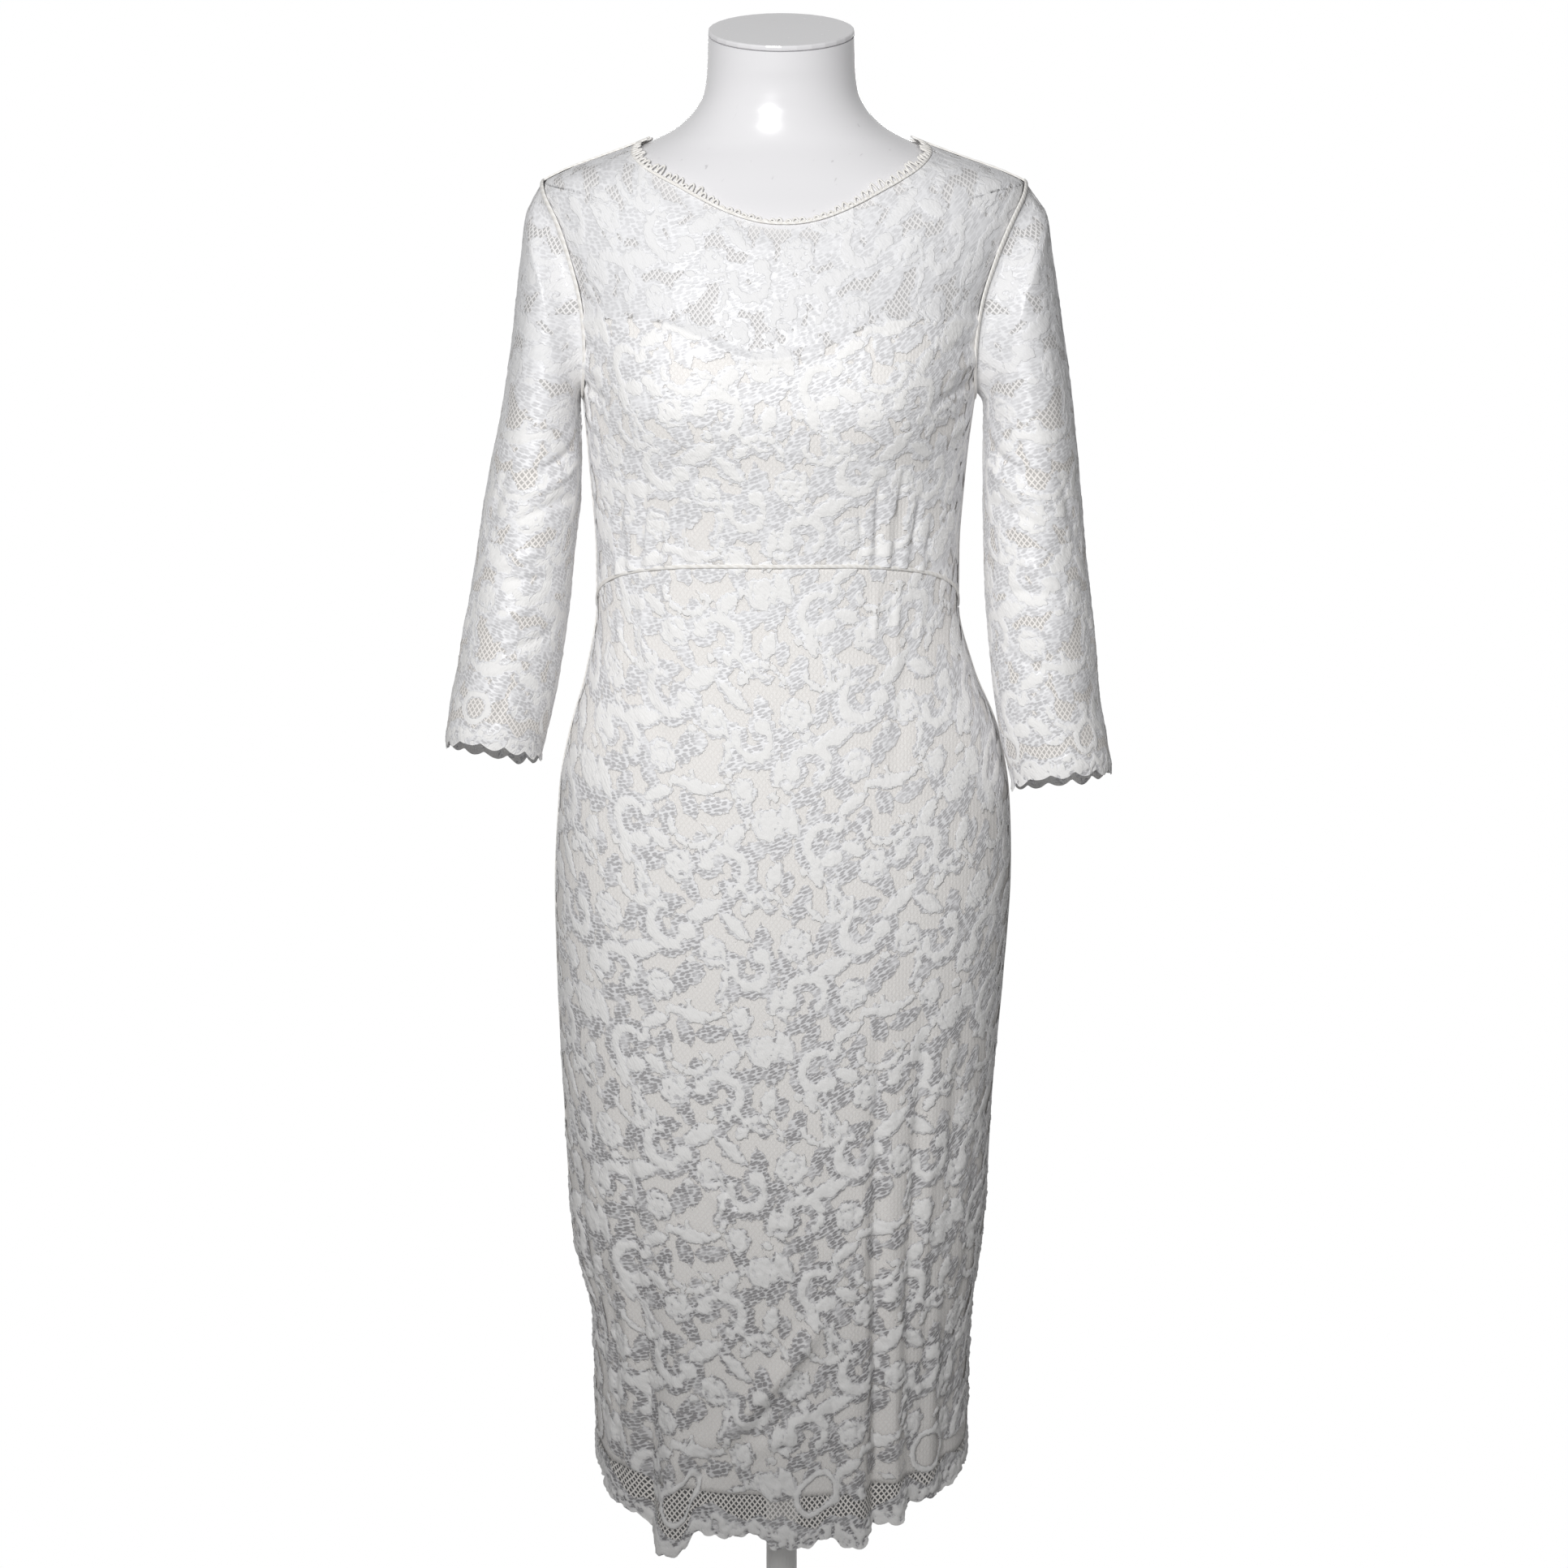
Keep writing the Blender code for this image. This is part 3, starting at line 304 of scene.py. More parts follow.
# Fine creases of the sleeves, along from the armpit to the cuff and round from the armpit by the front
# Columns: degrees round, along, to degrees, to along, half width, rise, bow
SLEEVE_CREASES = (
    (20.0, 0.02, 95.0, 0.13, 4.0, -2.6, 3.0),
    (15.0, 0.08, 100.0, 0.20, 4.6, 2.2, 3.0),
    (25.0, 0.20, 110.0, 0.30, 4.0, -2.0, -3.0),
    (60.0, 0.36, 140.0, 0.44, 4.6, 1.8, 3.0),
    (40.0, 0.47, 120.0, 0.50, 4.0, -2.2, -3.0),
    (70.0, 0.56, 150.0, 0.66, 4.0, 1.6, 2.0),
    (35.0, 0.62, 100.0, 0.72, 4.0, -1.8, 2.0),
    (120.0, 0.10, 150.0, 0.34, 5.0, -1.8, 3.0),
    (150.0, 0.48, 165.0, 0.80, 5.0, 1.6, -3.0),
    (80.0, 0.80, 90.0, 0.98, 4.0, -1.4, 1.0),
    (340.0, 0.04, 250.0, 0.16, 4.6, -2.4, 3.0),
    (330.0, 0.24, 260.0, 0.32, 4.4, 2.0, -2.0),
    (300.0, 0.46, 220.0, 0.52, 4.6, -2.2, 3.0),
    (290.0, 0.72, 230.0, 0.84, 4.6, 1.8, 2.0),
)

# The line inside the sleeve that its cloth is measured round
SLEEVE_LINE_HEIGHTS = (0.960, 1.236, 1.400)
SLEEVE_LINE_X = (0.225, 0.190, 0.165)
SLEEVE_LINE_Y = (-0.036, 0.0, 0.0)
SLEEVE_MM_PER_DEGREE = 0.75
SLEEVE_MM = 242.0

# Dress form: its rounded lower edge, where its wall leaves the lining, and its tilted flat top
FORM_BOTTOM = 0.742
FORM_LOW = 0.756
FORM_HIGH = 1.503
FORM_EDGE = 0.014
FORM_HALF = 0.13
FORM_BARE_FROM = 1.330
FORM_BARE_OVER = 0.07
FORM_NECK_OVER = 0.016
FORM_SIDES = 128
FORM_ROWS = 170
FORM_EDGE_ROWS = 8
FORM_NECK_ROWS = 8
NECK_TOP = 1.5345
NECK_TILT = math.radians(13.6)


def smooth_column(table, names, name, where):
    """One column of a table read at any value of its first, with no overshoot between the rows."""
    rows = sorted(table, key=lambda row: row[0])
    x = np.array([row[0] for row in rows])
    y = np.array([row[names.index(name)] for row in rows])
    step = np.diff(x)
    slope = np.diff(y) / step
    tangent = np.zeros(len(x))
    same_way = slope[:-1] * slope[1:] > 0
    total = np.where(same_way, slope[:-1] + slope[1:], 1.0)
    tangent[1:-1] = np.where(same_way, 2.0 * slope[:-1] * slope[1:] / total, 0.0)
    tangent[0] = slope[0]
    tangent[-1] = slope[-1]
    where = np.clip(where, x[0], x[-1])
    i = np.clip(np.searchsorted(x, where) - 1, 0, len(x) - 2)
    t = (where - x[i]) / step[i]
    return ((2 * t**3 - 3 * t**2 + 1) * y[i] + (t**3 - 2 * t**2 + t) * step[i] * tangent[i]
            + (3 * t**2 - 2 * t**3) * y[i + 1] + (t**3 - t**2) * step[i] * tangent[i + 1])


def bump(distance, spread):
    """A smooth hump that is 1 in its middle."""
    return np.exp(-(distance / spread) ** 2)


def wrapped(angle):
    """The same angle between -180 and 180."""
    return np.mod(angle + 180.0, 360.0) - 180.0


def smooth_step(low, high, value):
    """From 0 at low to 1 at high, level at both ends."""
    t = np.clip((value - low) / (high - low), 0.0, 1.0)
    return t * t * (3.0 - 2.0 * t)


def fold_rise(angle, height):
    """How far the skirt's long folds lift or sink the cloth."""
    turn = np.mod(angle + 90.0, 360.0) - 90.0
    total = np.zeros(np.broadcast(turn, height).shape)
    for angle_top, angle_hem, top, spread, rise in FOLDS:
        down = np.clip((top - height) / (top - HEM_LEVEL), 0.0, 1.0)
        centre = angle_top + (angle_hem - angle_top) * down
        total = total + rise * down**FOLD_GROWTH * bump(turn - centre, spread)
    return total


def crease_rise(across_mm, up_mm, table, across_scale, up_scale, around):
    """Sum of short creases, each along a bowed line that fades out at both ends."""
    total = np.zeros(np.broadcast(across_mm, up_mm).shape)
    for x0, y0, x1, y1, width, rise, bow in table:
        run = np.array([(x1 - x0) * across_scale, (y1 - y0) * up_scale])
        length = np.hypot(*run)
        way = run / length
        dx = across_mm - x0 * across_scale
        if around:
            dx = np.mod(dx + around / 2, around) - around / 2
        dy = up_mm - y0 * up_scale
        t = (dx * way[0] + dy * way[1]) / length
        side = -dx * way[1] + dy * way[0]
        inside = np.clip(4.0 * t * (1.0 - t), 0.0, 1.0)
        total = total + rise / 1000.0 * inside**0.8 * bump(side - bow * inside, width)
    return total


def gather_rise(angle, height):
    """How far the gathers above the waist seam lift the cloth."""
    up = height - waist_height(angle)
    total = np.zeros(np.broadcast(angle, height).shape)
    for centre, reach, rise in GATHERS:
        fade = np.clip(1.0 - up / reach, 0.0, 1.0)
        total = total + rise * fade**GATHER_GROWTH * bump(angle - centre, GATHER_SPREAD)
    return total


def body_radius(angle, height, folded=True):
    """Distance from the body's axis to the lace's outer face."""
    a, front, back, n = (smooth_column(BODY, BODY_COLUMNS, name, height)
                         for name in ("half_width", "front", "back", "squareness"))
    side = np.abs(np.sin(np.radians(angle)))
    ahead = np.cos(np.radians(angle))
    depth = np.where(ahead > 0, front, back)
    radius = ((side / a) ** n + (np.abs(ahead) / depth) ** n) ** (-1.0 / n)
    tall = bump(height - BUST_HEIGHT, BUST_TALL)
    for middle in (-BUST_ANGLE, BUST_ANGLE):
        radius = radius + BUST_RISE * bump(wrapped(angle - middle), BUST_SPREAD) * tall
    return radius + fold_rise(angle, height) if folded else radius


def body_point(angle, height, rise=0.0, folded=True):
    """A place on the lace's outer face, or so far outside it."""
    shift = smooth_column(BODY, BODY_COLUMNS, "shift", height)
    radius = body_radius(angle, height, folded) + rise
    x = shift + radius * np.sin(np.radians(angle))
    y = -radius * np.cos(np.radians(angle))
    return np.stack([x, y, height + 0.0 * x], axis=-1)


def body_normal(angle, height, folded=True):
    """The outward direction of that face, from its neighbouring places."""
    turn = 0.4
    up = 0.0012
    across = body_point(angle + turn, height, 0.0, folded) - body_point(angle - turn, height, 0.0, folded)
    along = body_point(angle, height + up, 0.0, folded) - body_point(angle, height - up, 0.0, folded)
    normal = np.cross(across, along)
    return normal / np.linalg.norm(normal, axis=-1, keepdims=True)


def waist_height(angle):
    """Height of the waist seam, highest at the front."""
    turn = np.abs(wrapped(angle))
    front = WAIST_FRONT - (WAIST_FRONT - WAIST_SIDE) * (turn / 90.0) ** 4
    back = WAIST_BACK - (WAIST_BACK - WAIST_SIDE) * (np.abs(180.0 - turn) / 90.0) ** 2
    return np.where(turn <= 90.0, front, back)


def lining_hem_height(angle):
    """Height of the skirt lining's hem."""
    turn = np.abs(wrapped(angle))
    front = LINING_HEM_FRONT + (LINING_HEM_SIDE - LINING_HEM_FRONT) * (turn / 90.0) ** 2
    back = LINING_HEM_BACK + (LINING_HEM_SIDE - LINING_HEM_BACK) * ((180.0 - turn) / 90.0) ** 2
    return np.where(turn <= 90.0, front, back)


def armhole_half_angle(down):
    """Half the armhole's opening, egg-shaped, at a place from -1 at the shoulder to 1 at the armpit."""
    return ARMHOLE_HALF_ANGLE * np.sqrt(np.clip(1.0 - down**2, 0.0, 1.0)) * (1.0 + ARMHOLE_EGG * down)


def armhole_place(height):
    """Where a height is in the armhole, from -1 at the shoulder to 1 at the armpit."""
    return np.clip((ARMHOLE_MIDDLE - height) / (SHOULDER_TIP - ARMHOLE_MIDDLE), -1.0, 1.0)


def edge_turn(height):
    """The angle from a bodice panel's middle to its edge at the side seam or the armhole."""
    side = 90.0 - np.degrees(SEAM_GAP / 2 / body_radius(90.0, height))
    return side - armhole_half_angle(armhole_place(height))


def scoop(part):
    """Rise of the neckline from 0 at its lowest to 1 at the shoulder seam."""
    return part**NECK_ROUND * (3.0 - 2.0 * part)


def neck_height(angle):
    """Height of the neckline, lowest at the front centre and highest at the shoulder seams."""
    turn = np.abs(wrapped(angle))
    part = np.minimum(turn, 180.0 - turn) / 90.0
    middle = np.where(turn <= 90.0, NECK_FRONT, NECK_BACK)
    return middle + (NECK_SIDE - middle) * scoop(part)


def neck_sink(angle, height):
    """How far the neckline's edge sinks towards the form."""
    return NECK_SINK * smooth_step(NECK_SINK_TALL, 0.0, neck_height(angle) - height)


def cloth_skin(angle, height, gathers):
    """The worn lace's face with its folds and creases."""
    rise = crease_rise(wrapped(angle) * MM_PER_DEGREE, height * 1000.0, CREASES, MM_PER_DEGREE, 1000.0,
                       360.0 * MM_PER_DEGREE)
    if gathers:
        rise = rise + gather_rise(wrapped(angle), height)
        above = above_lining(wrapped(angle), height)
        rise = (rise + SWEETHEART_RIDGE * bump(above, SWEETHEART_SPREAD)
                - SWEETHEART_SINK * smooth_step(0.0, SWEETHEART_SINK_TALL, above))
    return body_point(angle, height, rise - neck_sink(angle, height))


# Cloth places in mm: how far a point lies round and down the flat cloth
CLOTH_TOP = 1.472
CLOTH_BOTTOM = 0.328
CLOTH_GRID = (287, 181)


def cloth_table(centre):
    """Length round and down the cloth on a grid of angles and heights of one panel."""
    rows, columns = CLOTH_GRID
    angle = np.linspace(-90.0, 90.0, columns)
    height = np.linspace(CLOTH_TOP, CLOTH_BOTTOM, rows)
    grid = body_point(angle[None, :] + centre, height[:, None])
    across = np.linalg.norm(np.diff(grid, axis=1), axis=-1)
    round_mm = np.concatenate([np.zeros((len(height), 1)), np.cumsum(across, axis=1)], axis=1) * 1000.0
    middle = columns // 2
    round_mm = round_mm - round_mm[:, middle:middle + 1]
    down = np.linalg.norm(np.diff(grid, axis=0), axis=-1)
    down_mm = np.concatenate([np.zeros((1, len(angle))), np.cumsum(down, axis=0)], axis=0) * 1000.0
    return angle, height, round_mm, down_mm


def cloth_place(table, angle, height):
    """How far places of a panel lie round from its middle and up the cloth, in mm."""
    angles, heights, round_mm, down_mm = table
    column = np.clip((angle - angles[0]) / (angles[1] - angles[0]), 0, len(angles) - 1.001)
    row = np.clip((height - heights[0]) / (heights[1] - heights[0]), 0, len(heights) - 1.001)
    i = row.astype(int)
    j = column.astype(int)
    s = row - i
    t = column - j
    read = []
    for values in (round_mm, down_mm):
        upper = values[i, j] * (1 - t) + values[i, j + 1] * t
        lower = values[i + 1, j] * (1 - t) + values[i + 1, j + 1] * t
        read.append(upper * (1 - s) + lower * s)
    return read[0], -read[1]


# The lace's pattern: one repeat, drawn in mm, which tiles both ways
REPEAT_WIDE = 150.0
REPEAT_TALL = 176.0
REPEAT_STEP = 0.5

# Raised cords bent to hooks and bows; halo is the width of flecked ground round them
# Columns: x, y, radius, start and sweep in degrees, width, halo
CORDS = (
    (32.0, 142.0, 14.0, 50.0, 250.0, 7.5, 7.0),
    (106.0, 120.0, 15.0, -75.0, 245.0, 7.5, 6.0),
    (62.0, 70.0, 15.0, 110.0, 240.0, 8.0, 7.0),
    (127.0, 46.0, 13.0, 165.0, 250.0, 7.0, 6.0),
    (20.0, 26.0, 14.0, -45.0, 240.0, 7.5, 6.0),
    (80.0, 152.0, 18.0, 188.0, 160.0, 4.4, 0.0),
    (137.0, 88.0, 17.0, 10.0, 165.0, 4.4, 0.0),
    (36.0, 100.0, 17.0, 195.0, 150.0, 4.2, 0.0),
    (93.0, 20.0, 16.0, 205.0, 150.0, 4.4, 0.0),
    (82.0, 98.0, 44.0, 160.0, 42.0, 2.8, 3.0),
    (6.0, 84.0, 40.0, 10.0, 50.0, 2.8, 2.5),
    (148.0, 130.0, 36.0, 200.0, 60.0, 2.8, 3.0),
    (70.0, 40.0, 38.0, -30.0, 48.0, 2.8, 2.5),
)
THICK_CORD = 6.0
CORD_TAPER = 0.22              # a cord's ends are thinner than its middle by twice this share
CORD_END = 0.40                # the round end of a thin cord, and of a thick one where it starts
CORD_BUD = 0.78

# Rosettes. Columns: x, y, radius, turn, halo
FLOWERS = (
    (70.0, 117.0, 11.5, 10.0, 3.0),
    (11.0, 66.0, 12.5, 40.0, 2.0),
    (97.0, 55.0, 10.5, 0.0, 3.0),
    (138.0, 158.0, 12.0, 25.0, 2.0),
    (55.0, 21.0, 10.5, 60.0, 3.0),
    (119.0, 6.0, 9.5, 15.0, 1.5),
)
PETALS = 7
DENSE_RAGGED = 1.1             # how far the work's edges wander, in mm
DENSE_SPREAD = 0.25            # how much the dense work is wider than drawn, in mm
FLECKED_RAGGED = 0.8
SKIRT_SPREAD = 0.2             # how much the flecked ground is wider than drawn, in mm
TOP_SPREAD = 1.6
SLEEVE_SPREAD = 1.6

# Columns: x, y, length, width, angle, halo
DENSE_LEAVES = (
    (90.0, 86.0, 34.0, 11.0, 38.0, 2.0),
    (26.0, 120.0, 22.0, 9.0, 100.0, 1.5),
    (114.0, 78.0, 26.0, 10.0, 140.0, 2.0),
    (40.0, 46.0, 32.0, 11.0, 18.0, 2.0),
    (143.0, 119.0, 24.0, 9.5, 70.0, 1.5),
    (5.0, 162.0, 28.0, 10.0, 115.0, 2.0),
    (112.0, 147.0, 26.0, 10.0, 55.0, 2.0),
    (79.0, 3.0, 28.0, 9.0, -12.0, 1.5),
    (146.0, 22.0, 22.0, 9.0, 80.0, 1.5),
    (54.0, 134.0, 22.0, 9.0, 150.0, 2.0),
    (52.0, 168.0, 24.0, 9.0, 30.0, 2.0),
)
# Columns: x, y, length, width, angle
FLECKED_LEAVES = (
    (14.0, 98.0, 34.0, 15.0, 72.0),
    (48.0, 116.0, 30.0, 14.0, 28.0),
    (90.0, 134.0, 28.0, 13.0, 112.0),
    (128.0, 138.0, 34.0, 15.0, 18.0),
    (60.0, 152.0, 30.0, 13.0, 80.0),
    (16.0, 4.0, 32.0, 14.0, 30.0),
    (46.0, 4.0, 26.0, 13.0, 120.0),
    (74.0, 30.0, 34.0, 14.0, 75.0),
    (112.0, 26.0, 30.0, 13.0, 40.0),
    (136.0, 68.0, 32.0, 14.0, 100.0),
    (108.0, 98.0, 28.0, 12.0, 65.0),
    (78.0, 102.0, 30.0, 12.0, 130.0),
    (32.0, 70.0, 30.0, 14.0, 70.0),
    (84.0, 64.0, 28.0, 12.0, 85.0),
    (4.0, 44.0, 30.0, 13.0, 110.0),
    (98.0, 168.0, 30.0, 14.0, 20.0),
    (24.0, 168.0, 26.0, 12.0, 60.0),
    (120.0, 170.0, 26.0, 12.0, 95.0),
    (148.0, 142.0, 26.0, 12.0, 50.0),
    (64.0, 88.0, 24.0, 12.0, 15.0),
    (40.0, 20.0, 26.0, 12.0, 85.0),
    (130.0, 108.0, 26.0, 13.0, 150.0),
    (84.0, 35.0, 24.0, 12.0, 65.0),
    (77.0, 164.0, 24.0, 13.0, 115.0),
    (3.0, 113.0, 20.0, 10.0, 80.0),
)

# Columns: x, y, radius
DOTS = (
    (50.0, 92.0, 3.6), (98.0, 104.0, 3.2), (124.0, 94.0, 3.4), (18.0, 50.0, 3.4), (80.0, 46.0, 3.2),
    (142.0, 4.0, 3.6), (64.0, 4.0, 3.0), (92.0, 148.0, 3.4), (16.0, 122.0, 3.2), (44.0, 156.0, 3.0),
    (122.0, 158.0, 3.2), (108.0, 40.0, 3.0), (2.0, 12.0, 3.4),
)


# How far inside the work a place counts that none of it reaches, in mm
NOWHERE = -99.0
FAR_OUTSIDE = -9.0
EDGE_GRAIN = 1.6               # size of the edges' and the surface's unevenness, in mm
LUMP_GRAIN = 2.4
EDGE_SEED = 3
LUMP_SEED = 8
FLECKED_AROUND = 0.4           # flecked ground round all dense work, in mm


def leaf_inside(dx, dy, length, width, angle):
    """How far a place lies inside a pointed leaf, negative outside."""
    turn = math.radians(angle)
    along = dx * math.cos(turn) + dy * math.sin(turn)
    across = -dx * math.sin(turn) + dy * math.cos(turn)
    radius = (length**2 / 4 + width**2 / 4) / width
    return radius - np.hypot(along, np.abs(across) + radius - width / 2)


def cord_inside(dx, dy, radius, start, sweep, width):
    """How far a place lies inside a bent cord; a thick one ends in a bud."""
    turn = np.degrees(np.arctan2(dy, dx))
    past = np.mod(turn - start, 360.0)
    middle = np.cos(np.radians((np.clip(past / sweep, 0.0, 1.0) - 0.5) * 360.0))
    taper = 1.0 - CORD_TAPER + CORD_TAPER * middle
    inside = np.where(past <= sweep, width / 2 * taper - np.abs(np.hypot(dx, dy) - radius), NOWHERE)
    for end, swell in ((start, CORD_END), (start + sweep, CORD_BUD if width > THICK_CORD else CORD_END)):
        ex = dx - radius * math.cos(math.radians(end))
        ey = dy - radius * math.sin(math.radians(end))
        inside = np.maximum(inside, width * swell - np.hypot(ex, ey))
    return inside


def flower_inside(dx, dy, radius, turn):
    """A ruffled rosette with a wavy groove inside its edge and a knot in its middle."""
    distance = np.hypot(dx, dy)
    way = np.arctan2(dy, dx) - math.radians(turn)
    outline = radius * (0.93 + 0.07 * np.cos(PETALS * way)) - distance
    groove = np.abs(distance - radius * (0.56 + 0.10 * np.cos(3.0 * way + 0.6))) - 0.9
    return np.minimum(outline, np.maximum(groove, -0.4 + np.cos(2.0 * way + 1.0))), outline


def tiled_noise(shape, size_mm, seed):
    """Soft noise that tiles with the repeat, about 1 in size."""
    noise = np.random.default_rng(seed).standard_normal(shape)
    rows = np.fft.fftfreq(shape[0], REPEAT_STEP)[:, None]
    columns = np.fft.fftfreq(shape[1], REPEAT_STEP)[None, :]
    blurred = np.fft.ifft2(np.fft.fft2(noise) * np.exp(-(rows**2 + columns**2) * (2.2 * size_mm) ** 2)).real
    return blurred / blurred.std()


def lace_repeat():
    """How far each place of the repeat is inside the dense and the flecked work, in mm, and its lumps."""
    x, y = np.meshgrid(np.arange(0.0, REPEAT_WIDE, REPEAT_STEP), np.arange(0.0, REPEAT_TALL, REPEAT_STEP))
    dense = np.full(x.shape, FAR_OUTSIDE)
    flecked = np.full(x.shape, FAR_OUTSIDE)

    def offsets(cx, cy):
        dx = np.mod(x - cx + REPEAT_WIDE / 2, REPEAT_WIDE) - REPEAT_WIDE / 2
        dy = np.mod(y - cy + REPEAT_TALL / 2, REPEAT_TALL) - REPEAT_TALL / 2
        return dx, dy

    for cx, cy, length, width, angle in FLECKED_LEAVES:
        flecked = np.maximum(flecked, leaf_inside(*offsets(cx, cy), length, width, angle))
    for cx, cy, length, width, angle, halo in DENSE_LEAVES:
        inside = leaf_inside(*offsets(cx, cy), length, width, angle)
        dense = np.maximum(dense, inside)
        flecked = np.maximum(flecked, inside + halo)
    for cx, cy, radius, start, sweep, width, halo in CORDS:
        inside = cord_inside(*offsets(cx, cy), radius, start, sweep, width)
        dense = np.maximum(dense, inside)
        flecked = np.maximum(flecked, inside + halo)
    for cx, cy, radius, turn, halo in FLOWERS:
        inside, outline = flower_inside(*offsets(cx, cy), radius, turn)
        dense = np.maximum(dense, inside)
        flecked = np.maximum(flecked, outline + halo)
    for cx, cy, radius in DOTS:
        dense = np.maximum(dense, radius - np.hypot(*offsets(cx, cy)))
    edge = tiled_noise(x.shape, EDGE_GRAIN, EDGE_SEED)
    lumps = tiled_noise(x.shape, LUMP_GRAIN, LUMP_SEED)
    dense = dense + DENSE_SPREAD + DENSE_RAGGED * edge
    flecked = np.maximum(flecked, dense + FLECKED_AROUND) + FLECKED_RAGGED * lumps
    return dense, flecked, lumps


def read_repeat(repeat, round_mm, up_mm):
    """The repeat's value at any place of the cloth."""
    column = np.mod(round_mm / REPEAT_STEP, repeat.shape[1])
    row = np.mod(up_mm / REPEAT_STEP, repeat.shape[0])
    i = np.floor(row).astype(int) % repeat.shape[0]
    j = np.floor(column).astype(int) % repeat.shape[1]
    s = row - np.floor(row)
    t = column - np.floor(column)
    below = (i + 1) % repeat.shape[0]
    beside = (j + 1) % repeat.shape[1]
    return ((repeat[i, j] * (1 - t) + repeat[i, beside] * t) * (1 - s)
            + (repeat[below, j] * (1 - t) + repeat[below, beside] * t) * s)


# Scalloped border along the hem and the cuffs, in mm above the edge: a zigzag ground with solid
# lobes, a band of wide net over it, and a ring with a net window over every second valley
HEM_BORDER = {"pitch": 55.0, "low": 10.0, "high": 27.0, "net_top": 38.0, "ring": 15.5}
CUFF_BORDER_LACE = {"pitch": 37.5, "low": 9.0, "high": 18.0, "net_top": 24.0, "ring": 10.5}
RING_WIDTH = 4.6
RING_ABOVE = 1.0
RING_HALO = 0.6
NET_WAVER = 3.0
LOBE_SHARE = 0.66
LOBE_WAVER = 1.6
LOBE_WAVER_PITCH = 13.5
LOBE_DEPTH = 1.2
LOBE_WORN = 2.6


def lace_pattern(repeats, round_mm, up_mm, above_edge, border, spread):
    """Dense and flecked work of a panel, with its border where it has one."""
    dense, flecked, lumps = (read_repeat(repeat, round_mm, up_mm) for repeat in repeats)
    flecked = flecked + spread
    if border is None:
        return dense, flecked, lumps
    pitch = border["pitch"]
    wave = np.abs(np.mod(round_mm / pitch, 1.0) * 2.0 - 1.0)
    zigzag = border["low"] + (border["high"] - border["low"]) * wave
    net_top = border["net_top"] + NET_WAVER * np.sin(round_mm * 2.0 * math.pi / pitch * 0.5)
    dense = np.minimum(dense, above_edge - net_top)
    flecked = np.minimum(flecked, above_edge - net_top)
    flecked = np.maximum(flecked, zigzag - above_edge)
    waver = LOBE_WAVER * np.sin(round_mm * 2.0 * math.pi / LOBE_WAVER_PITCH)
    lobes = LOBE_SHARE * zigzag - above_edge + waver
    dense = np.maximum(dense, np.minimum(lobes, LOBE_DEPTH + LOBE_WORN * lumps))
    centre = np.mod(round_mm - pitch / 2 + pitch, 2.0 * pitch) - pitch
    window = border["ring"] - np.hypot(centre, above_edge - border["net_top"] - RING_ABOVE)
    ring = RING_WIDTH / 2 - np.abs(window)
    dense = np.maximum(dense, ring)
    flecked = np.maximum(np.minimum(flecked, -window), ring + RING_HALO)
    dense = np.where(window > RING_WIDTH / 2, np.minimum(dense, -window), dense)
    return dense, flecked, lumps


# How far the dense and flecked work stands up from the net, in metres, and how wide its slopes are,
# in mm inside its edge
DENSE_RELIEF = 0.00052
FLECKED_RELIEF = 0.00024
LUMP_RELIEF = 0.00020
TIGHT_RELIEF = 0.55            # the stretched top flattens the work
LOOSE_HIGH = 0.86              # below this height the lace hangs loose and its work stands up more
LOOSE_LOW = 0.48
LOOSE_RELIEF = 1.35
SLOPE_FOOT = -1.0
DENSE_SLOPE_TOP = 1.8
FLECKED_SLOPE_TOP = 1.2
KEPT_RANGE = (-4.0, 6.0)       # of the distances that the material gets, in mm


def grid_quads(number):
    """The corners of a grid's faces, from the numbers of its points."""
    quads = np.stack([number[:-1, :-1], number[1:, :-1], number[1:, 1:], number[:-1, 1:]], axis=-1)
    return quads.reshape(-1, 4)


def mesh_from_grid(name, points, closed, material, attributes=None, flip=False):
    """A mesh of one sheet given as rows of points; closed joins the last column to the first."""
    rows, columns = points.shape[:2]
    number = np.arange(rows * columns).reshape(rows, columns)
    if closed:
        number = np.concatenate([number, number[:, :1]], axis=1)
    corners = grid_quads(number)
    if flip:
        corners = corners[:, ::-1]
    return mesh_from_arrays(name, points.reshape(-1, 3), corners, material, attributes)


def mesh_from_arrays(name, points, corners, material, attributes=None):
    """A smooth mesh from its points and faces, with point attributes for its material."""
    mesh = bpy.data.meshes.new(name)
    mesh.vertices.add(len(points))
    mesh.vertices.foreach_set("co", np.ascontiguousarray(points, dtype=np.float32).ravel())
    mesh.loops.add(corners.size)
    mesh.loops.foreach_set("vertex_index", np.ascontiguousarray(corners, dtype=np.int32).ravel())
    mesh.polygons.add(len(corners))
    mesh.polygons.foreach_set("loop_start", np.arange(0, corners.size, corners.shape[1], dtype=np.int32))
    mesh.update(calc_edges=True)
    mesh.validate()
    for label, values in (attributes or {}).items():
        kind = "FLOAT" if values.shape[-1] == 1 else "FLOAT_VECTOR"
        field = "value" if values.shape[-1] == 1 else "vector"
        layer = mesh.attributes.new(label, kind, "POINT")
        layer.data.foreach_set(field, np.ascontiguousarray(values, dtype=np.float32).ravel())
    mesh.materials.append(material)
    mesh.shade_smooth()
    piece = bpy.data.objects.new(name, mesh)
    bpy.context.scene.collection.objects.link(piece)
    return piece


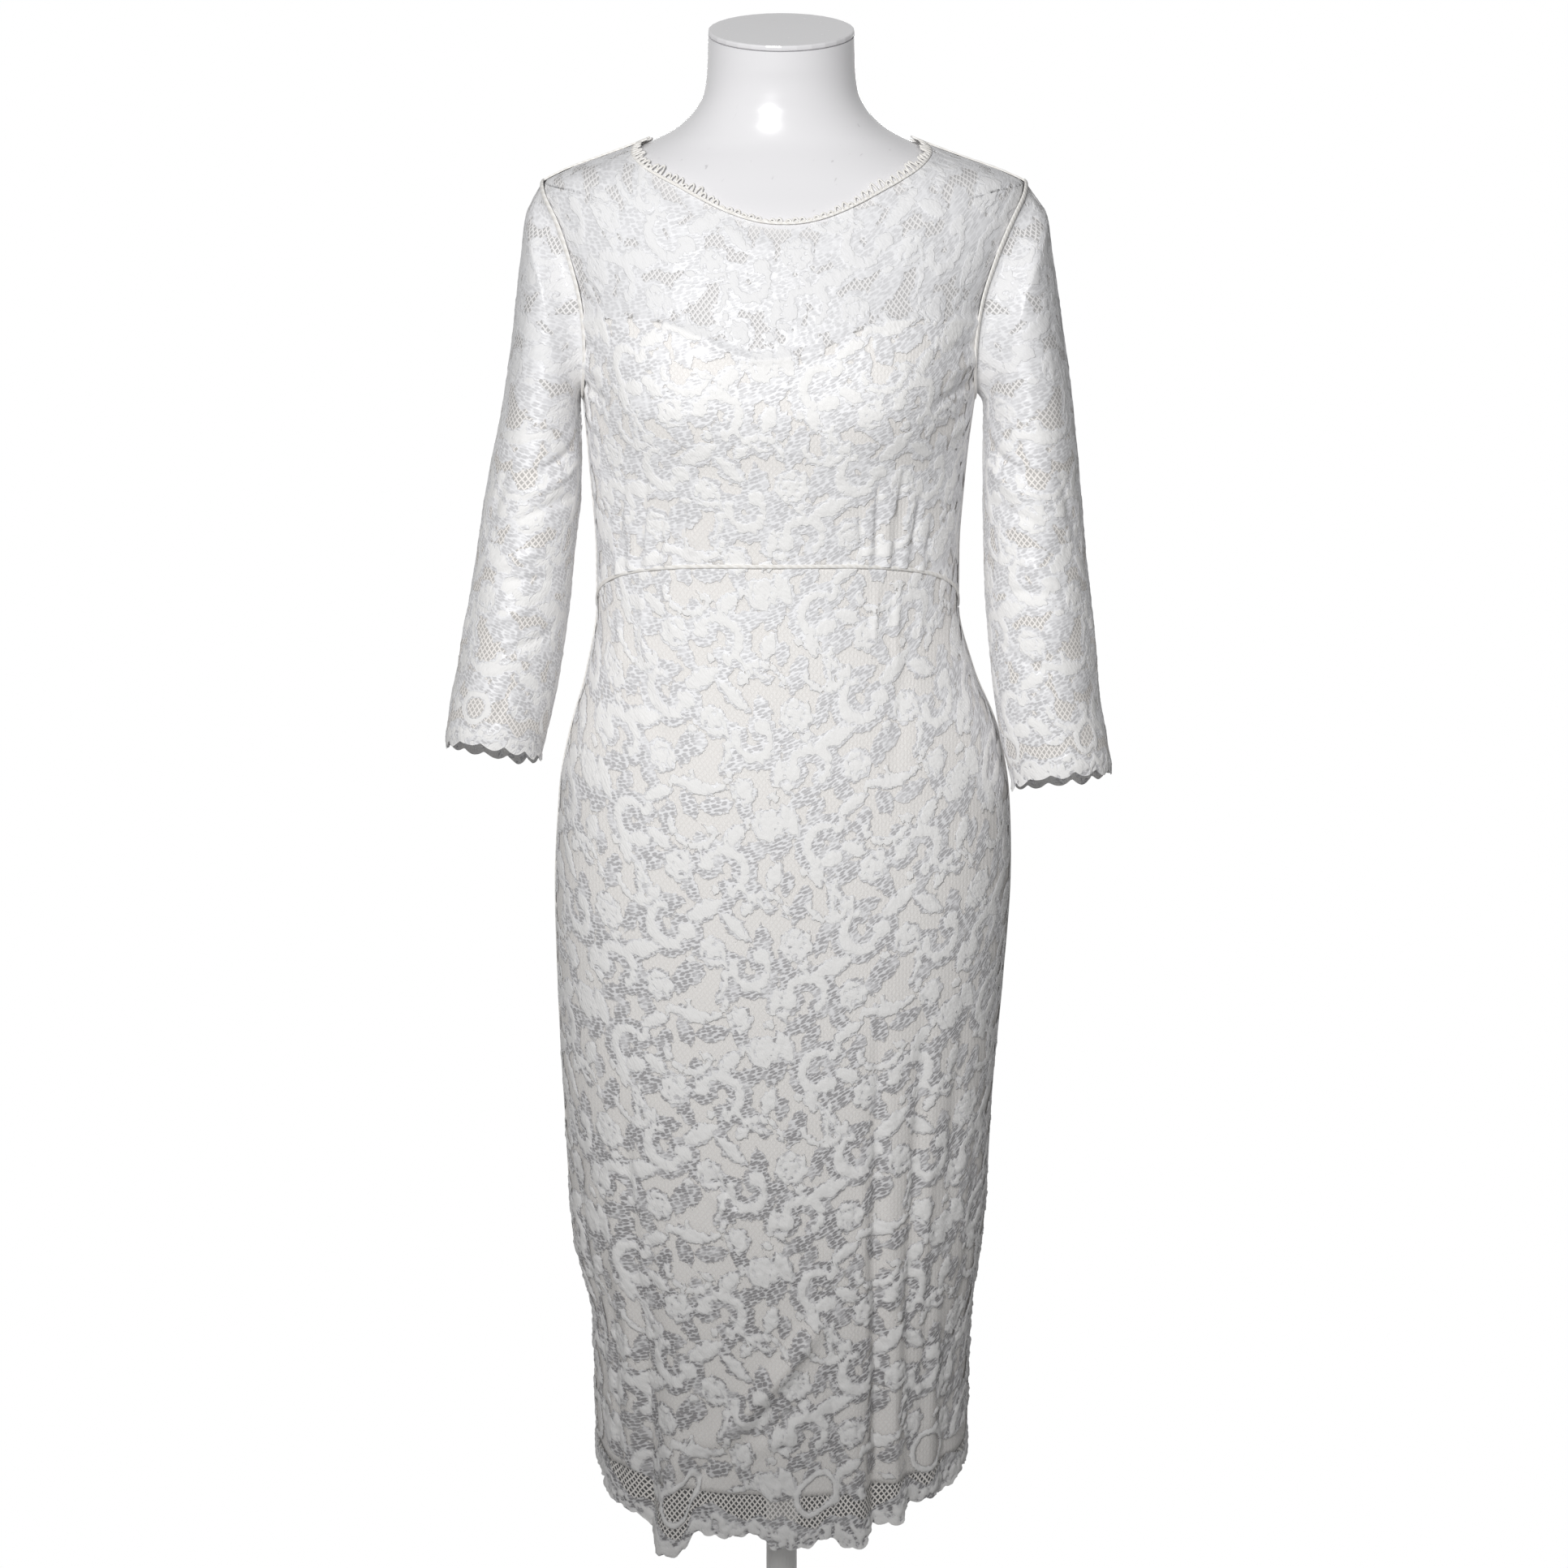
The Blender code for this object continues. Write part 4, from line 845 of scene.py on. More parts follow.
def grid_normals(points, closed):
    """Unit normals of a grid of points, to the right of its rows seen down its columns."""
    down = np.gradient(points, axis=0)
    if closed:
        across = np.roll(points, -1, axis=1) - np.roll(points, 1, axis=1)
    else:
        across = np.gradient(points, axis=1)
    normal = np.cross(down, across)
    return normal / np.maximum(np.linalg.norm(normal, axis=-1, keepdims=True), 1e-12)


def above_lining(angle, height):
    """How far a place of the front bodice is above the lining's sweetheart edge, in metres."""
    return height - LINING_TOP - smooth_column(SWEETHEART, SWEETHEART_COLUMNS, "height", angle)


def lace_piece(name, skin, way, round_mm, up_mm, above_edge, border, spread, bare, material):
    """A lace panel: its skin with the work raised on the net, and what the material needs."""
    dense, flecked, lumps = lace_pattern(REPEATS, round_mm, up_mm, above_edge, border, spread)
    raised = smooth_step(SLOPE_FOOT, FLECKED_SLOPE_TOP, flecked)
    relief = (DENSE_RELIEF * smooth_step(SLOPE_FOOT, DENSE_SLOPE_TOP, dense) + FLECKED_RELIEF * raised
              + LUMP_RELIEF * lumps * raised)
    relief = relief * (TIGHT_RELIEF + LOOSE_RELIEF * smooth_step(LOOSE_HIGH, LOOSE_LOW, skin[..., 2]))
    points = skin + way * (relief - LACE_SINK)[..., None]
    attributes = {
        "cloth": np.stack([round_mm, up_mm, 0.0 * up_mm], axis=-1).reshape(-1, 3),
        "dense": np.clip(dense, *KEPT_RANGE).reshape(-1, 1),
        "flecked": np.clip(flecked, *KEPT_RANGE).reshape(-1, 1),
        "bare": np.broadcast_to(bare, flecked.shape).reshape(-1, 1),
    }
    return mesh_from_grid(name, points, False, material, attributes)


def wall_piece(name, outer, inner, material):
    """A closed thin wall between two open grids of the same size."""
    rows, columns = outer.shape[:2]
    number = np.arange(rows * columns).reshape(rows, columns)
    quads = grid_quads(number)
    count = rows * columns
    rim = np.concatenate([number[0, ::-1], number[1:, 0], number[-1, 1:], number[-2:0:-1, -1]])
    after = np.roll(rim, -1)
    sides = np.stack([after, rim, rim + count, after + count], axis=-1)
    corners = np.concatenate([quads, quads[:, ::-1] + count, sides])
    points = np.concatenate([outer.reshape(-1, 3), inner.reshape(-1, 3)])
    return mesh_from_arrays(name, points, corners, material)


# Sewn cords: radius, sides of the section, and how tall it is for its width
FINE_CORD = (0.0008, 6, 1.0)
BINDING_CORD = (0.0013, 8, 0.55)
WAIST_CORD = (0.0016, 10, 0.55)
ARMHOLE_CORD = (0.0024, 10, 0.45)


def cord_piece(name, paths, cord, material):
    """Cords along paths of points with the normals of what they lie on."""
    radius, sides, flat = cord
    points = []
    corners = []
    for path, normal, closed in paths:
        if closed:
            along = np.roll(path, -1, axis=0) - np.roll(path, 1, axis=0)
        else:
            along = np.gradient(path, axis=0)
        along = along / np.linalg.norm(along, axis=-1, keepdims=True)
        across = np.cross(normal, along)
        across = across / np.linalg.norm(across, axis=-1, keepdims=True)
        up = np.cross(along, across)
        turn = np.arange(sides) * 2.0 * math.pi / sides
        ring = (np.cos(turn)[None, :, None] * across[:, None, :]
                + flat * np.sin(turn)[None, :, None] * up[:, None, :]) * radius
        first = sum(len(p) for p in points)
        points.append((path[:, None, :] + ring).reshape(-1, 3))
        count = len(path)
        number = np.arange(count * sides).reshape(count, sides) + first
        number = np.concatenate([number, number[:, :1]], axis=1)
        if closed:
            number = np.concatenate([number, number[:1]], axis=0)
        quads = np.stack([number[:-1, :-1], number[:-1, 1:], number[1:, 1:], number[1:, :-1]], axis=-1)
        corners.append(quads.reshape(-1, 4))
        if not closed:
            for end, way in ((number[0, :-1], -1), (number[-1, :-1], 1)):
                ring_numbers = end[::way]
                caps = [(ring_numbers[0], ring_numbers[k], ring_numbers[k + 1], ring_numbers[k + 2])
                        for k in range(1, sides - 2, 2)]
                corners.append(np.array(caps))
    return mesh_from_arrays(name, np.concatenate(points), np.concatenate(corners), material)


# Materials

def linear(code):
    """A hex sRGB colour as the linear colour that a shader takes."""
    parts = [int(code[k:k + 2], 16) / 255.0 for k in (0, 2, 4)]
    parts = [p / 12.92 if p <= 0.04045 else ((p + 0.055) / 1.055) ** 2.4 for p in parts]
    return (*parts, 1.0)


def add(tree, kind, sources=None, give=0, **settings):
    """Adds one node with its settings and what feeds it, and gives one of its outputs."""
    made = tree.nodes.new(kind)
    for name, value in settings.items():
        setattr(made, name, value)
    for socket, value in (sources or {}).items():
        if isinstance(value, bpy.types.NodeSocket):
            tree.links.new(value, made.inputs[socket])
        else:
            made.inputs[socket].default_value = value
    return made.outputs[give]


def new_material(name, surface):
    """A material whose Principled shader has these plain socket values, and its node tree."""
    material = bpy.data.materials.new(name)
    material.use_nodes = True
    shader = material.node_tree.nodes["Principled BSDF"]
    for socket, value in surface.items():
        shader.inputs[socket].default_value = value
    return material, material.node_tree, shader


def lace_material():
    """Knitted nylon net with glossy rayon fill and raised cotton: dull white cords on sparkling ground."""
    material, tree, shader = new_material("rayon_and_cotton_lace", {
        "IOR": 1.5, "Specular IOR Level": 0.6, "Sheen Weight": 0.12, "Sheen Roughness": 0.5})
    cloth = add(tree, "ShaderNodeAttribute", give="Vector", attribute_name="cloth")
    dense = add(tree, "ShaderNodeAttribute", give="Fac", attribute_name="dense")
    flecked = add(tree, "ShaderNodeAttribute", give="Fac", attribute_name="flecked")
    # Thread ends make the edges of the work ragged by about a millimetre
    ragged = add(tree, "ShaderNodeTexNoise", {"Vector": cloth, "Scale": 1 / 2.4, "Detail": 3.0,
                                              "Roughness": 0.65})
    dense_edge = add(tree, "ShaderNodeMath", {0: ragged, 1: 3.0, 2: dense}, operation="MULTIPLY_ADD")
    dense_part = add(tree, "ShaderNodeMapRange", {"Value": dense_edge, "From Min": 1.0, "From Max": 2.2},
                     interpolation_type="SMOOTHSTEP")
    flecked_edge = add(tree, "ShaderNodeMath", {0: ragged, 1: 5.0, 2: flecked}, operation="MULTIPLY_ADD")
    flecked_part = add(tree, "ShaderNodeMapRange", {"Value": flecked_edge, "From Min": 2.2,
                                                    "From Max": 3.0}, interpolation_type="SMOOTHSTEP")
    # Slanted stitches of the fill, drawn 5 by 2.1 mm so that their long openings show
    slanted = add(tree, "ShaderNodeMapping", {"Vector": cloth, "Rotation": (0.0, 0.0, math.radians(24.0)),
                                              "Scale": (5.0, 2.1, 1.0)}, vector_type="TEXTURE")
    stitch = add(tree, "ShaderNodeTexVoronoi", {"Vector": slanted, "Scale": 1.0, "Randomness": 0.7},
                 voronoi_dimensions="2D")
    opening = add(tree, "ShaderNodeMapRange", {"Value": stitch, "From Min": 0.60, "From Max": 0.28},
                  interpolation_type="SMOOTHSTEP")
    patchy = add(tree, "ShaderNodeTexNoise", {"Vector": cloth, "Scale": 1 / 14.0, "Detail": 2.0})
    openness = add(tree, "ShaderNodeMapRange", {"Value": patchy, "From Min": 0.30, "From Max": 0.52,
                                                "To Min": 0.25, "To Max": 1.0})
    # The openings grow low on the skirt, where the lace hangs off its lining; this also deepens their
    # painted shade
    position = add(tree, "ShaderNodeTexCoord", give="Object")
    position = add(tree, "ShaderNodeSeparateXYZ", {0: position}, give=2)
    hung_and_painted_shade = add(tree, "ShaderNodeMapRange", {"Value": position, "From Min": 1.10, "From Max": 0.60,
                                            "To Min": 0.34, "To Max": 1.0})
    opening = add(tree, "ShaderNodeMath", {0: opening, 1: openness}, operation="MULTIPLY")
    opening = add(tree, "ShaderNodeMath", {0: opening, 1: hung_and_painted_shade}, operation="MULTIPLY")
    # A closed margin lies round the dense work
    margin = add(tree, "ShaderNodeMapRange", {"Value": dense_edge, "From Min": 1.0, "From Max": 0.4})
    opening = add(tree, "ShaderNodeMath", {0: opening, 1: margin}, operation="MULTIPLY")
    # Diamond net of 3.3 mm cells with 1.1 mm threads
    wander = add(tree, "ShaderNodeTexNoise", {"Vector": cloth, "Scale": 1 / 6.0, "Detail": 1.0},
                 give="Color")
    wandered = add(tree, "ShaderNodeVectorMath", {0: wander, 1: (1.6, 1.6, 0.0), 2: cloth},
                   operation="MULTIPLY_ADD")
    threads = []
    for lean in (-0.6, 0.6):
        across = add(tree, "ShaderNodeVectorMath", {0: wandered, 1: (0.8 / 3.3, lean / 3.3, 0.0)},
                     give="Value", operation="DOT_PRODUCT")
        beside = add(tree, "ShaderNodeMath", {0: across, 1: 0.5}, operation="PINGPONG")
        threads.append(add(tree, "ShaderNodeMapRange", {"Value": beside, "From Min": 0.21,
                                                        "From Max": 0.14}))
    net = add(tree, "ShaderNodeMath", {0: threads[0], 1: threads[1]}, operation="MAXIMUM")
    # Finer threads veil its cells above the wide net of the hem
    veil = add(tree, "ShaderNodeMapRange", {"Value": position, "From Min": 0.44, "From Max": 0.60,
                                            "To Min": 0.0, "To Max": 0.55})
    veiled = add(tree, "ShaderNodeMath", {0: net, 1: veil}, operation="MAXIMUM")
    # On the lining it is drawn flat, and hardly shows
    pressed = add(tree, "ShaderNodeMath", {0: net, 1: 0.12}, operation="MULTIPLY")
    bare = add(tree, "ShaderNodeAttribute", give="Fac", attribute_name="bare")
    net_cover = add(tree, "ShaderNodeMix", {"Factor": bare, "A": pressed, "B": veiled})
    # Ribs of the padded cords, drawn at 1.6 mm, three times the thread
    rib_place = add(tree, "ShaderNodeMapping", {"Vector": cloth, "Rotation": (0.0, 0.0, math.radians(38.0)),
                                                "Scale": (1.6, 4.5, 1.0)}, vector_type="TEXTURE")
    ribs = add(tree, "ShaderNodeTexNoise", {"Vector": rib_place, "Scale": 1.0, "Detail": 2.0})
    # Where there is cloth
    fill_cover = add(tree, "ShaderNodeMath", {0: opening, 1: -0.30, 2: 1.0}, operation="MULTIPLY_ADD")
    cover = add(tree, "ShaderNodeMix", {"Factor": flecked_part, "A": net_cover, "B": fill_cover})
    cover = add(tree, "ShaderNodeMath", {0: cover, 1: dense_part}, operation="MAXIMUM")
    tree.links.new(cover, shader.inputs["Alpha"])
    # Colours
    # Painted shade: the fill's colour darkens towards the bottom of the skirt
    low = add(tree, "ShaderNodeMapRange", {"Value": position, "From Min": 1.10, "From Max": 0.50})
    fill_colour = add(tree, "ShaderNodeMix", {"Factor": low, 6: linear("FBFBFD"), 7: linear("E6E5E6")},
                      give=2, data_type="RGBA")
    # Painted shade: the openings are coloured grey for the shade seen through them
    fill_colour = add(tree, "ShaderNodeMix", {"Factor": opening, 6: fill_colour, 7: linear("A2A0A3")},
                      give=2, data_type="RGBA")
    colour = add(tree, "ShaderNodeMix", {"Factor": flecked_part, 6: linear("FBF7F3"), 7: fill_colour},
                 give=2, data_type="RGBA")
    colour = add(tree, "ShaderNodeMix", {"Factor": dense_part, 6: colour, 7: linear("FCFBFA")},
                 give=2, data_type="RGBA")
    # Painted shade: where the work is bare of lining, over the form and on the sleeves, its colour is
    # greyed from 1.22 m upwards
    high = add(tree, "ShaderNodeMapRange", {"Value": position, "From Min": 1.22, "From Max": 1.30,
                                            "To Min": 0.0, "To Max": 0.62})
    painted_shade_high = add(tree, "ShaderNodeMath", {0: bare, 1: high}, operation="MULTIPLY")
    colour = add(tree, "ShaderNodeMix", {"Factor": painted_shade_high, 6: colour, 7: linear("E6E6E8")},
                 give=2, data_type="RGBA")
    tree.links.new(colour, shader.inputs["Base Color"])
    # The rayon fill shines, the cotton is dull
    shine = add(tree, "ShaderNodeMapRange", {"Value": flecked_part, "To Min": 0.70, "To Max": 0.42})
    shine = add(tree, "ShaderNodeMix", {"Factor": dense_part, "A": shine, "B": 0.82})
    tree.links.new(shine, shader.inputs["Roughness"])
    # Fine height in mm
    fill_height = add(tree, "ShaderNodeMath", {0: opening, 1: -0.30, 2: 0.30}, operation="MULTIPLY_ADD")
    height = add(tree, "ShaderNodeMath", {0: net, 1: 0.10}, operation="MULTIPLY")
    height = add(tree, "ShaderNodeMix", {"Factor": flecked_part, "A": height, "B": fill_height})
    dense_height = add(tree, "ShaderNodeMath", {0: ribs, 1: 0.60, 2: 0.30}, operation="MULTIPLY_ADD")
    height = add(tree, "ShaderNodeMix", {"Factor": dense_part, "A": height, "B": dense_height})
    normal = add(tree, "ShaderNodeBump", {"Height": height, "Strength": 1.0, "Distance": 0.001})
    tree.links.new(normal, shader.inputs["Normal"])
    return material


# Blender's wave bands at scale 1, in metres from one to the next
STRAIGHT_BANDS = math.pi / 10.0
DIAGONAL_BANDS = math.pi / 5.0 / math.sqrt(3.0)
WALE_PITCH = 0.0027634
TWIST_PITCH = 0.0036468


def knit_material():
    """Fine polyester jersey: soft matt cream with hair-thin wales, drawn every 2.8 mm so that they show."""
    material, tree, shader = new_material("cream_polyester_jersey", {
        "IOR": 1.5, "Specular IOR Level": 0.3, "Sheen Weight": 0.2, "Sheen Roughness": 0.5})
    spot = add(tree, "ShaderNodeTexCoord", give="Object")
    wales = add(tree, "ShaderNodeTexWave", {"Vector": spot, "Scale": STRAIGHT_BANDS / WALE_PITCH,
                                            "Distortion": 2.0, "Detail": 2.0, "Detail Scale": 2.0},
                give="Fac", wave_type="BANDS", bands_direction="X")
    mottle = add(tree, "ShaderNodeTexNoise", {"Vector": spot, "Scale": 18.0, "Detail": 3.0})
    colour = add(tree, "ShaderNodeMix", {"Factor": mottle, 6: linear("F6F3F0"), 7: linear("FAF8F6")},
                 give=2, data_type="RGBA")
    tree.links.new(colour, shader.inputs["Base Color"])
    rough = add(tree, "ShaderNodeMapRange", {"Value": mottle, "To Min": 0.72, "To Max": 0.86})
    tree.links.new(rough, shader.inputs["Roughness"])
    normal = add(tree, "ShaderNodeBump", {"Height": wales, "Strength": 0.5, "Distance": 0.0002})
    tree.links.new(normal, shader.inputs["Normal"])
    return material


def thread_material():
    """Twisted cotton cord: matt, cream, with a slanted twist, drawn every 3.6 mm so that it shows."""
    material, tree, shader = new_material("twisted_cotton_cord", {
        "IOR": 1.5, "Specular IOR Level": 0.3, "Sheen Weight": 0.2})
    spot = add(tree, "ShaderNodeTexCoord", give="Object")
    twist = add(tree, "ShaderNodeTexWave", {"Vector": spot, "Scale": DIAGONAL_BANDS / TWIST_PITCH,
                                            "Distortion": 1.0},
                give="Fac", wave_type="BANDS", bands_direction="DIAGONAL")
    # Painted shade: the colour darkens in the twist's grooves, where its bump is lowest
    colour = add(tree, "ShaderNodeMix", {"Factor": twist, 6: linear("EEEBE6"), 7: linear("FBF9F6")},
                 give=2, data_type="RGBA")
    tree.links.new(colour, shader.inputs["Base Color"])
    rough = add(tree, "ShaderNodeMapRange", {"Value": twist, "To Min": 0.88, "To Max": 0.72})
    tree.links.new(rough, shader.inputs["Roughness"])
    normal = add(tree, "ShaderNodeBump", {"Height": twist, "Strength": 0.6, "Distance": 0.0003})
    tree.links.new(normal, shader.inputs["Normal"])
    return material


def plastic_material():
    """Moulded ABS: hard highlights on a faintly lilac white, with light handling marks."""
    material, tree, shader = new_material("glossy_moulded_abs", {
        "IOR": 1.53, "Coat Weight": 0.25, "Coat Roughness": 0.08})
    spot = add(tree, "ShaderNodeTexCoord", give="Object")
    cloudy = add(tree, "ShaderNodeTexNoise", {"Vector": spot, "Scale": 9.0, "Detail": 4.0})
    # Only the peaks show as marks, in noise with cells 4 mm wide and 22 mm long
    leaning = add(tree, "ShaderNodeMapping", {"Vector": spot, "Rotation": (0.0, math.radians(25.0), 0.0),
                                              "Scale": (0.004, 0.004, 0.022)}, vector_type="TEXTURE")
    marks = add(tree, "ShaderNodeTexNoise", {"Vector": leaning, "Scale": 1.0, "Detail": 2.0})
    worn = add(tree, "ShaderNodeMapRange", {"Value": marks, "From Min": 0.70, "From Max": 0.78})
    colour = add(tree, "ShaderNodeMix", {"Factor": worn, 6: linear("E9E8EA"), 7: linear("CFCDCF")},
                 give=2, data_type="RGBA")
    tree.links.new(colour, shader.inputs["Base Color"])
    rough = add(tree, "ShaderNodeMapRange", {"Value": cloudy, "To Min": 0.14, "To Max": 0.30})
    rough = add(tree, "ShaderNodeMath", {0: worn, 1: 0.22, 2: rough}, operation="MULTIPLY_ADD")
    tree.links.new(rough, shader.inputs["Roughness"])
    normal = add(tree, "ShaderNodeBump", {"Height": cloudy, "Strength": 0.15, "Distance": 0.001})
    tree.links.new(normal, shader.inputs["Normal"])
    return material


def paint_material():
    """Powder-coated steel: white with the fine orange peel that the baked powder leaves."""
    material, tree, shader = new_material("white_powder_coated_steel", {"IOR": 1.5})
    spot = add(tree, "ShaderNodeTexCoord", give="Object")
    peel = add(tree, "ShaderNodeTexNoise", {"Vector": spot, "Scale": 1 / 0.002, "Detail": 1.0})
    dust = add(tree, "ShaderNodeTexNoise", {"Vector": spot, "Scale": 14.0, "Detail": 5.0})
    colour = add(tree, "ShaderNodeMix", {"Factor": dust, 6: linear("F4F3F1"), 7: linear("FCFBFA")},
                 give=2, data_type="RGBA")
    tree.links.new(colour, shader.inputs["Base Color"])
    rough = add(tree, "ShaderNodeMapRange", {"Value": dust, "To Min": 0.30, "To Max": 0.48})
    tree.links.new(rough, shader.inputs["Roughness"])
    normal = add(tree, "ShaderNodeBump", {"Height": peel, "Strength": 0.3, "Distance": 0.0001})
    tree.links.new(normal, shader.inputs["Normal"])
    return material


# Pieces

FRONT_SKIRT_GRID = (386, 257)     # rows and columns of the lace's points, about 2 mm apart
BACK_SKIRT_GRID = (350, 240)
SKIRT_LINING_GRID = (150, 128)
BODICE_COLUMNS = 224
BODICE_ROWS = (12, 110, 84)       # at the shoulder, beside the armhole and below it
BODICE_LINING_GRID = (25, 30, 72)  # rows above the armpit and below it, and columns
SLEEVE_GRID = (56, 46, 150, 160)  # rows of the cap, the upper part and the rest, and columns
BARE_AT_HEM = 0.001               # the lace turns bare over this height above and below the lining's hem
BARE_AT_TOP = (-0.001, 0.002)     # and over these heights at the lining's top


def place(piece, slot_name, *nodes):
    """Hands a piece over to the frame, with the solids that it stands for."""
    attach(piece, "root")
    if nodes:
        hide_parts(*nodes)
    return piece


def hem_edge(angle, length, back):
    """Height of the skirt's scalloped edge at so many metres along it."""
    small = SMALL_SCALLOP_DROP * np.abs(np.sin(math.pi * length / SMALL_SCALLOP))
    if back:
        large = HEM_SCALLOP_DROP * np.abs(np.sin(math.pi * length / HEM_SCALLOP))
        return HEM_BACK - large - small
    return smooth_column(HEM, HEM_COLUMNS, "height", angle) - small


def skirt_panel(side, centre, grid, lace, knit):
    """Lace skirt panel with its scalloped hem, and its lining."""
    rows, columns = grid
    half = 90.0 - math.degrees(SEAM_GAP / 2 / HIP_HALF_WIDTH)
    angle = np.linspace(-half, half, columns)
    top = waist_height(angle + centre) - SEAM_GAP / 2
    line = body_point(angle + centre, HEM_BACK)
    length = np.concatenate([[0.0], np.cumsum(np.linalg.norm(np.diff(line, axis=0), axis=1))])
    plain = hem_edge(angle, 0.0 * length, side == "back")
    edge = hem_edge(angle, length, side == "back")
    down = np.linspace(0.0, 1.0, rows)[:, None]
    height = top + (edge - top) * down
    angles = np.broadcast_to(angle, height.shape)
    table = cloth_table(centre)
    round_mm, up_mm = cloth_place(table, angles, height)
    _, edge_mm = cloth_place(table, angle, plain)
    skin = cloth_skin(angles + centre, height, False)
    way = grid_normals(skin, False)
    bare = smooth_step(BARE_AT_HEM, -BARE_AT_HEM, height - lining_hem_height(angle + centre))
    piece = lace_piece(side + "_skirt_lace", skin, way, round_mm, up_mm, up_mm - edge_mm, HEM_BORDER,
                       SKIRT_SPREAD, bare, lace)
    place(piece, "white_lace", side + "_skirt")
    rows, columns = SKIRT_LINING_GRID
    angle = np.linspace(-half, half, columns)
    top = waist_height(angle + centre) - SEAM_GAP / 2
    down = np.linspace(0.0, 1.0, rows)[:, None]
    height = top + (lining_hem_height(angle + centre) - top) * down
    skin = cloth_skin(np.broadcast_to(angle, height.shape) + centre, height, False)
    way = grid_normals(skin, False)
    lining = wall_piece(side + "_skirt_jersey", skin - way * LINING_DEPTH,
                        skin - way * (LINING_DEPTH + LINING_WALL), knit)
    place(lining, "cream_lining_knit", side + "_skirt_lining")
    return piece, lining


def bodice_places(centre):
    """Angles and heights of a bodice panel's points, from its neckline down to the waist seam."""
    back = centre > 90.0
    shoulder_rows, armhole_rows, below_rows = BODICE_ROWS
    neck_centre = NECK_BACK if back else NECK_FRONT
    shoulder = np.linspace(NECK_SIDE, SHOULDER_TIP, shoulder_rows + 1)
    turns = np.linspace(math.pi, 0.0, armhole_rows + 1)[1:]
    armhole = ARMHOLE_MIDDLE - (SHOULDER_TIP - ARMHOLE_MIDDLE) * np.cos(turns)
    below = np.linspace(ARMPIT, WAIST_SIDE + SEAM_GAP / 2, below_rows + 1)[1:]
    edges = np.concatenate([shoulder, armhole, below])
    shoulder_centre = np.linspace(neck_centre, neck_centre - NECK_ROW_STEP, shoulder_rows + 1)
    armhole_centre = np.linspace(shoulder_centre[-1], ARMPIT, armhole_rows + 1)[1:]
    centres = np.concatenate([shoulder_centre, armhole_centre])
    places = np.linspace(-1.0, 1.0, BODICE_COLUMNS)
    part = np.abs(places)
    angles = []
    heights = []
    for k, edge in enumerate(edges):
        if edge >= ARMPIT:
            heights.append(centres[k] + (edge - centres[k]) * scoop(part))
        else:
            down = (ARMPIT - edge) / (ARMPIT - WAIST_SIDE)
            heights.append(ARMPIT + (waist_height(places * 90.0 + centre) + SEAM_GAP / 2 - ARMPIT) * down)
        angles.append(places * edge_turn(edge))
    return np.array(angles), np.array(heights)


def bodice_panel(side, centre, lace, knit):
    """Lace bodice panel, and its lining with the thick elastic top edge."""
    angle, height = bodice_places(centre)
    front = side == "front"
    round_mm, up_mm = cloth_place(cloth_table(centre), angle, height)
    skin = cloth_skin(angle + centre, height, front)
    way = body_normal(angle + centre, height)
    above = above_lining(angle, height) if front else height - LINING_TOP
    piece = lace_piece(side + "_bodice_lace", skin, way, round_mm, up_mm, None, None, TOP_SPREAD,
                       smooth_step(*BARE_AT_TOP, above), lace)
    place(piece, "white_lace", side + "_bodice")
    upper_rows, lower_rows, columns = BODICE_LINING_GRID
    places = np.linspace(-1.0, 1.0, columns)
    part = np.linspace(0.0, 1.0, upper_rows)[:, None]
    top_angle = places * edge_turn(LINING_TOP)
    top = LINING_TOP + (smooth_column(SWEETHEART, SWEETHEART_COLUMNS, "height", top_angle)
                        if front else 0.0 * places)
    edge = LINING_TOP + (ARMPIT - LINING_TOP) * part
    upper_height = top + (ARMPIT - top) * part
    upper_angle = places * edge_turn(edge)
    part = np.linspace(0.0, 1.0, lower_rows)[1:, None]
    lower_height = ARMPIT + (waist_height(places * 90.0 + centre) + SEAM_GAP / 2 - ARMPIT) * part
    lower_angle = places * edge_turn(WAIST_SIDE) + 0.0 * part
    angle = np.concatenate([upper_angle, lower_angle]) + centre
    height = np.concatenate([upper_height, lower_height])
    skin = cloth_skin(angle, height, front)
    way = body_normal(angle, height)
    wall = LINING_WALL + EDGING_WALL * smooth_step(EDGING_TALL, 0.0, top - height)
    lining = wall_piece(side + "_bodice_jersey", skin - way * LINING_DEPTH,
                        skin - way * (LINING_DEPTH + wall)[..., None], knit)
    place(lining, "cream_lining_knit", side + "_bodice_lining")
    return piece, lining


def armhole_loop(side, steps):
    """Points round an armhole's edge, with the body's normals and the way into the opening."""
    turn = np.arange(steps) * 2.0 * math.pi / steps
    down = np.cos(turn)
    height = ARMHOLE_MIDDLE - (SHOULDER_TIP - ARMHOLE_MIDDLE) * down
    half = armhole_half_angle(down)
    ahead = np.sign(np.sin(turn)) * (np.abs(np.sin(turn)) > 1e-6)
    angle = side * (90.0 - ahead * half)
    outer = body_point(angle, height)
    normal = body_normal(angle, height)
    along = np.roll(outer, -1, axis=0) - np.roll(outer, 1, axis=0)
    across = np.cross(normal, along)
    across = across / np.linalg.norm(across, axis=-1, keepdims=True)
    inward = np.sign(np.sum((outer.mean(axis=0) - outer) * across, axis=-1, keepdims=True))
    return outer, normal, across * inward


def bezier(p0, p1, p2, p3, t):
    """A place on the smooth curve between two ends that these two points draw it to."""
    return (1 - t)**3 * p0 + 3 * t * (1 - t)**2 * p1 + 3 * t**2 * (1 - t) * p2 + t**3 * p3


